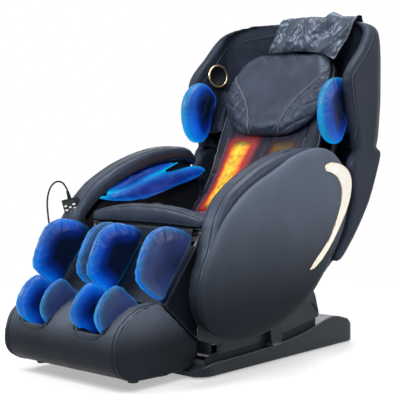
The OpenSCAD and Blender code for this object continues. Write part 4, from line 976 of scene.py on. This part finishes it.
def strip_point(tree, u, x, lift):
    """A point lift mm behind the pad's skin at u and x; a negative lift stands before it."""
    there = on_back(u, pad_off(u, x), x)
    hit = lay_on(tree, [there], INTO_BACK, 0.0)
    return (Vector(hit[0]) if hit else Vector(there)) + INTO_BACK * lift * MM


# place along the back, half width and thickness of the pillow
PILLOW_KEYS = [(180, 62, 8), (192, 118, 30), (234, 180, 46), (292, 219, 54), (360, 236, 56), (420, 231, 54),
               (480, 212, 46), (524, 182, 35), (547, 138, 15)]


def head_pillow():
    rows, n = [], 64
    for u, w, t in spline(PILLOW_KEYS, 10, False):
        ring = []
        for j in range(n + 1):
            a = math.pi * j / n
            x = -w * math.cos(a)
            ring.append(on_back(u, pad_off(u, x) + 2.0 + t * (0.10 + 0.90 * math.sin(a) ** 0.7), x))
        for j in range(1, 16):
            x = w * math.cos(math.pi * j / 16)
            ring.append(on_back(u, pad_off(u, x) + 1.6, x))
        rows.append(ring)
    ob = placed("pillow", loft_rings(rows), leather, "pillow", ["head_pillow"])
    voxels(ob, 0.0045)
    relax(ob, 8)
    swell(ob, cap=0.008, slack=0.003)
    co, n = coords(ob), normals(ob)
    u, _, x = to_back(co)
    front = steps(n @ np.array((0, *RAIL_N)), 0.25, 0.6)
    out = np.abs(x) - pillow_arc(u)           # past the piping that bounds the middle panel
    quilt = steps(out, 4, 10) * front
    p, q = (np.abs(x) * 0.86 + (u - 200) * 0.5), (-np.abs(x) * 0.5 + (u - 200) * 0.86)
    lines = np.minimum(grid_distance(p, 44.0), grid_distance(q, 40.0))
    h = -3.6 * np.exp(-(lines / 4.0) ** 2) + 1.5
    seam_dip = -3.0 * np.exp(-(out / 4.5) ** 2) * front
    # folds that run in from the upper rim of the middle panel, and puckers along the sides
    fan = np.sin(x / 11.0 + 1.8 * np.sin(u / 40.0)) * steps(u, 440, 520) * 1.3 * (out < 0)
    edge = np.sin(u / 9.0) * steps(np.abs(x), 150, 220) * 0.6
    move_to(ob, co + n * ((h * quilt + seam_dip + (fan + edge) * front) * MM)[:, None])
    crease(ob, 0.0010, 17.0, 5.0)
    relax(ob, 1)
    skin = skin_tree(ob)
    for side in (1, -1):
        pts = [on_back(t, 90, side * float(pillow_arc(t))) for t in np.arange(190, 462, 6.0)]
        rod_along("pillow_piping_%d" % (side + 1), lay_on(skin, pts, INTO_BACK, 0.0012), 0.0022, piping_grey,
                  "pillow")


def pillow_arc(u):
    """Half width of the pillow's middle panel at u."""
    return np.interp(u, [180, 205, 240, 280, 320, 360, 400, 435, 470], [66, 68, 74, 90, 114, 148, 186, 212, 242])


def grid_distance(v, step):
    return np.abs((v / step + 0.5) % 1.0 - 0.5) * step


# y and z of the flap from its front hem over the top of the shell, and of the shell's rear face below it
FLAP_RUN = [(436, 1054), (430, 1072), (431, 1094), (436, 1114), (442, 1138), (452, 1162), (465, 1178), (486, 1178),
            (500, 1162), (514, 1136), (522, 1104)]
REAR_Z, REAR_Y = (1085, 1118, 1140, 1156, 1172), (510, 502, 496, 490, 482)


def head_flap_sheet():
    """Thin leather thrown over the top of the shell; it falls in slanting folds behind the pillow."""
    line = flat_run(FLAP_RUN, 8)
    rows, cols = len(line), 120
    bm, verts = grid_mesh(rows, cols)
    for k, v in enumerate(verts):
        across, i = divmod(k, rows)
        p, down = across / (cols - 1), 1 - min(1.0, i / (rows * 0.5))
        x = (-40 - 56 * down) * (1 - p) + (290 - 70 * down ** 1.3) * p
        y, z = line[i]
        if y >= 490:
            bulge = 52 * (1 - max(0.0, (z - 850) / 330) ** 2)
            y = float(np.interp(z, REAR_Z, REAR_Y)) + bulge * (1 - (x / 330) ** 2) + 2.5
        hem = down * (6 * math.sin(5 * p) - 26 * max(0.0, (p - 0.70) / 0.30) ** 1.6)
        v.co = Vector((x, y + 1.5 - 10 * down * max(0.0, (p - 0.7) / 0.3), z - 8 * (x / 300) ** 2 + hem)) * MM
    bmesh.ops.recalc_face_normals(bm, faces=bm.faces)
    ob = placed("flap", bm, leather_thin, None, ["head_flap"])
    co, n = coords(ob), normals(ob)
    if n[:, 2].mean() < 0:
        n = -n
    x, y, z = co.T / MM
    slant, along = 0.72 * x - 0.69 * z, 0.69 * x + 0.72 * z
    q = np.stack([slant, along * 0.42, y * 0.4], 1) * MM
    ridge = 1 - np.abs(noise_at(q, 12.0, 2.0)) * 2.4
    small = 1 - np.abs(noise_at(q * np.array((1.0, 2.8, 1.0)), 34.0, 9.0)) * 2
    front = steps(y, 476, 440)
    peak = 12 * np.exp(-((x - 178) / 30.0) ** 2) * steps(z, 1120, 1178)
    lift = (13.0 * np.clip(ridge, -0.2, 1) + 3.0 * np.clip(small, 0, 1)) * (0.35 + 0.65 * front) + peak
    move_to(ob, co + n * (lift * MM)[:, None])
    edge = coords(ob)[(cols - 1) * rows:]
    thicken(ob, 0.0022)
    soft = ob.modifiers.new("soft", "SUBSURF")
    soft.levels = soft.render_levels = 1
    smooth(ob)
    settle(ob)
    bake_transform(ob)
    cord = rod_along("flap_piping", [Vector(p) for p in edge[:rows // 2 + 4]], 0.0022, piping_grey, None)
    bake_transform(cord)


SPEAKER, SPEAKER_OVAL = (416, 976), 1.28   # its middle, y and z, and its width to its height


def speakers():
    """Gold ring and dark pierced dish in each wing."""
    def oval(side, x, r):
        return [(side * x * MM, (SPEAKER[0] + SPEAKER_OVAL * r * math.cos(t)) * MM,
                 (SPEAKER[1] + r * math.sin(t)) * MM) for t in turns(64)]
    dish = ((327.5, 39), (326.0, 39), (326.2, 37), (328.0, 32), (329.5, 23), (330.0, 10))
    for side, tag in SIDES:
        ring = [Vector(p) for p in oval(side, 326.5, 41.5)]
        rim = rod_along("speaker_ring_" + tag, ring, 0.0046, gold, "back", closed=True)
        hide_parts("speakers")
        bm = loft_rings([oval(side, x, r) for x, r in dish])
        smooth(placed("speaker_dish_" + tag, bm, dish_black, "back"))


# ---------- seat, band and skirt ----------
def seat_cushion():
    ob = skinned("seat_cushion", "seat_pad", leather, "seat", 0.006, 8)
    swell(ob, cap=0.006, slack=0.004)
    co, n = coords(ob), normals(ob)
    x, y = co[:, 0] / MM, co[:, 1] / MM
    top = steps(n[:, 2], 0.3, 0.7)
    groove = 5 * np.exp(-((np.abs(x) - 115) / 5.0) ** 2)
    for line in (-190, -100, -10, 70):
        groove += 3.2 * np.exp(-((y - line) / 5.0) ** 2) * (np.abs(x) < 115)
    move_to(ob, co - n * (groove * top * MM)[:, None])
    crease(ob, 0.0012, 18.0, 1.0)


BAND_HALF, BAND_Y, BAND_Z = 249, -304.5, 456   # half width of the seat band, its middle and its under side


def seat_band():
    """The arched leather roll across the front of the seat."""
    rings, n = [], 36
    for i in range(-45, 46):
        q = i / 45
        h = 32 + 34 * (1 - abs(q) ** 2.2)
        e = 0.70 + 0.30 * math.sqrt(max(0.0, 1 - abs(q) ** 16))
        rings.append([(q * BAND_HALF * MM, (BAND_Y + 33.5 * e * rounded(math.cos(t), 0.6)) * MM,
                       (BAND_Z + h * (0.5 + 0.5 * e * rounded(math.sin(t), 0.7))) * MM) for t in turns(n)])
    ob = placed("front_roll", loft_rings(rings), leather, "seat", ["seat_band"])
    smooth(ob)
    crease(ob, 0.0012, 24.0, 8.0)
    for k, (j, r, mat) in enumerate(((10, 0.0012, seam_grey), (13, 0.0012, seam_grey), (21, 0.0024, leather_dark))):
        line = [Vector(ring[j]) + (Vector(ring[j]) - sum(map(Vector, ring), Vector()) / n).normalized() * 0.0006
                for ring in rings[2:-2]]
        rod_along("roll_seam_%d" % k, line, r, mat, "seat")


SKIRT_HALF, SKIRT_DROP = 214, 117
SKIRT_BEND = 0.12   # the share of the skirt that turns down from the roll


def front_skirt():
    """Loose cloth between the seat and the leg rest."""
    cols, rows = 150, 46
    bm, verts = grid_mesh(cols, rows)
    co = np.zeros((cols * rows, 3))
    for k in range(cols * rows):
        r, c = divmod(k, cols)
        s = r / (rows - 1)
        if s < SKIRT_BEND:
            y, z = -328 - 13 * s / SKIRT_BEND, 454.5 - 1.5 * (s / SKIRT_BEND) ** 2
        else:
            y, z = -342.5, 451 - SKIRT_DROP * ((s - SKIRT_BEND) / (1 - SKIRT_BEND))
        co[k] = (SKIRT_HALF * (2 * c / (cols - 1) - 1), y, z)
    fall = np.clip((452 - co[:, 2]) / 60, 0, 1)
    p = co * MM
    folds = 1 - 2 * np.abs(noise_at(p * np.array((1.0, 0.5, 0.55)), 26.0, 3.0))
    small = 1 - 2 * np.abs(noise_at(p * np.array((1.0, 1.0, 0.9)), 60.0, 8.0))
    # slack folds sag from the roll in scallops
    scallop = np.sin(co[:, 0] / 21.0 + 1.3 * np.sin(co[:, 0] / 47.0)) * np.exp(-((co[:, 2] - 432) / 16.0) ** 2)
    co[:, 1] += (-2.8 * folds - 1.3 * small - 1.6 * scallop) * fall + 1.6
    co[:, 2] += 1.5 * folds * fall
    for v, c in zip(verts, co):
        v.co = Vector(c) * MM
    bmesh.ops.recalc_face_normals(bm, faces=bm.faces)
    ob = placed("skirt", bm, skirt_cloth, "seat", ["seat_skirt"])
    thicken(ob, 0.0014)
    smooth(ob)


# ---------- leg rest ----------
# outline of the foot shell's side, and the height of its top along the leg rest
FOOT_LINE = [(213, 124), (270, 182), (350, 212), (405, 200), (446, 172), (462, 138), (456, 95), (433, 53), (360, -38),
             (296, -106), (272, -115)]
FOOT_TOP = ((213, 240, 270, 310, 350, 380, 405, 430), (124, 154, 182, 201, 212, 209, 200, 184))
# depth of a foot well's lining below the top, and how far it draws in
WELL_STEPS = ((-2, -5), (1.5, -2), (2.5, 4), (-3, 9), (-14, 13), (-34, 18), (-60, 26), (-82, 40))
WELL_MID, WELL_ACROSS = 322, 124   # a well's middle along and across
WELL_LONG, WELL_WIDE, WELL_POWER = 77, 67, 2 / 3.2   # its half sizes and how square it is


def foot_section():
    """Foot shell with piping and two seams round each side."""
    ob = skinned("foot_shell", "foot_shell_skin", leather_low, "foot_section", 0.005, 9, -0.50)
    crease(ob, 0.0006, 9.0, 6.0)
    tree = skin_tree(ob)
    run = flat_run(FOOT_LINE, 8)
    last = len(run) - 1
    ways = [run[min(i + 1, last)] - run[max(i - 1, 0)] for i in range(last + 1)]
    inward = [np.array((d[1], -d[0])) / np.linalg.norm(d) for d in ways]
    for side, tag in SIDES:
        piping = [Vector(on_leg(*(p + w * 3.4), side * 246.4)) for p, w in zip(run, inward)]
        rod_along("foot_piping_" + tag, piping, 0.0026, leather_dark, "foot_section")
        for k, off in enumerate((12, 16)):
            rays = []
            for p, w in zip(run, inward):
                to_skin = Vector((0, *(w[0] * LEG_S + w[1] * LEG_T)))
                rays.append((Vector(on_leg(*p, side * (248 - off))) - to_skin * 0.03, to_skin))
            rod_along("foot_seam_%s_%d" % (tag, k), cast_on(tree, rays, 0.06), 0.0009, leather_dark, "foot_section")


def foot_wells():
    """Soft bowls in the mouths of the two foot wells."""
    for side, tag in SIDES:
        rings = []
        for drop, shrink in WELL_STEPS:
            ring = []
            for a in turns(64):
                s = WELL_MID + (WELL_LONG - shrink) * rounded(math.sin(a), WELL_POWER)
                top = float(np.interp(s, *FOOT_TOP))
                ring.append(on_leg(s, top + drop,
                                   side * WELL_ACROSS + (WELL_WIDE - shrink) * rounded(math.cos(a), WELL_POWER)))
            rings.append(ring)
        rim = placed("well_lip_" + tag, loft_rings(rings, caps=False), leather_dark, "foot_section")
        thicken(rim, 0.002, -1)
        smooth(rim)


def calf_section():
    skinned("calf_shell", "calf_cover", leather_dark, "leg_rest", 0.005, 5, -0.50)


def hand_grips():
    ob = skinned("hand_pads", "hand_grips", mesh_cloth, "base", 0.002, 8)


BLADE_OUTER = [(134, 638), (146, 648), (173, 653), (220, 647), (256, 633), (279, 614), (290, 589), (289, 557),
               (279, 523), (261, 490), (239, 460), (214, 428), (186, 396), (151, 362), (113, 332), (73, 309)]
BLADE_INNER = [(52, 305), (80, 331), (122, 363), (161, 396), (187, 430), (208, 462), (223, 492), (233, 525),
               (235, 559), (224, 586), (202, 607), (168, 621), (141, 626)]
BLADE_X, COVER_X, GROOVE_X, LINER = 380.2, 291.5, 280.0, 1.6   # the last is a liner's thickness


def blade_edges():
    """Gold edge of the trim blades."""
    outline = [*flat_run(BLADE_OUTER, 6), *flat_run(BLADE_INNER, 6)]
    for side, tag in SIDES:
        line = [Vector((side * BLADE_X, y, z)) * MM for y, z in outline]
        rod_along("blade_edge_" + tag, line, 0.0014, gold, "base", closed=True)


# y and z of the lower edge of the side panels over the base cover, and of the tray's rim
COVER_TOP = [(-318, 113), (-220, 110), (-106, 126), (1, 163), (70, 185), (110, 181), (150, 181), (190, 180),
             (228, 140)]
TRAY_TOP = [(-374, 38), (-330, 45), (-292, 47), (-102, 52), (117, 69), (265, 100), (330, 106), (406, 87)]


def base_liners():
    """Thin side plates that close the base between its cover and the panels, and the groove below the cover."""
    upper = [(-405, 128), (-330, 104)] + [(y, z - 9) for y, z in COVER_TOP] + [
        (208, 190), (190, 222), (150, 240), (20, 236), (-110, 200), (-318, 196), (-405, 190)]
    groove = [(-360, 30), (-292, 36), (-102, 42), (117, 58), (224, 84), (224, 124), (65, 99), (-150, 81), (-325, 73),
              (-360, 60)]
    for name, line, x, mat in (("cover_upper", upper, COVER_X, base_plastic),
                               ("groove_liner", groove, GROOVE_X, rubber)):
        bm = loft_rings([[(x0 * MM, y * MM, z * MM) for y, z in line] for x0 in (x, x + LINER)])
        left = placed(name + "_left", bm, mat, "base")
        mirrored(left, name + "_right")
    # painted highlight: a pale rod along each tray rim stands for the light on its rounded lip
    for side, tag in SIDES:
        lip_highlight = [Vector((side * (COVER_X + 0.1), y, z - 1.4)) * MM for y, z in flat_run(TRAY_TOP, 5)]
        rod_along("tray_lip_highlight_" + tag, lip_highlight, 0.0028, seam_grey, "base")


for mat, nodes in NODE_FINISH:
    for node in nodes.split():
        repaint(node, mat)

put_camera()
light_room()
make_floor()
lay_cable()
side_panels()
armrests()
arm_cushions()
hand_grips()
blade_edges()
base_liners()
back_shell()
pad_tree = back_cushion()
warm_strips(pad_tree)
head_pillow()
head_flap_sheet()
shoulder_cushions()
speakers()
seat_cushion()
seat_band()
front_skirt()
calf_section()
foot_section()
foot_wells()
leg_cushions("calf_bags", "calf_cushions", "leg_rest", CALF_LINE, (210, 250), (5, 41), (5, 11))
leg_cushions("foot_bags", "foot_cushions", "foot_section", FOOT_BAG, (152, 192), (56, 84), (4, 10))
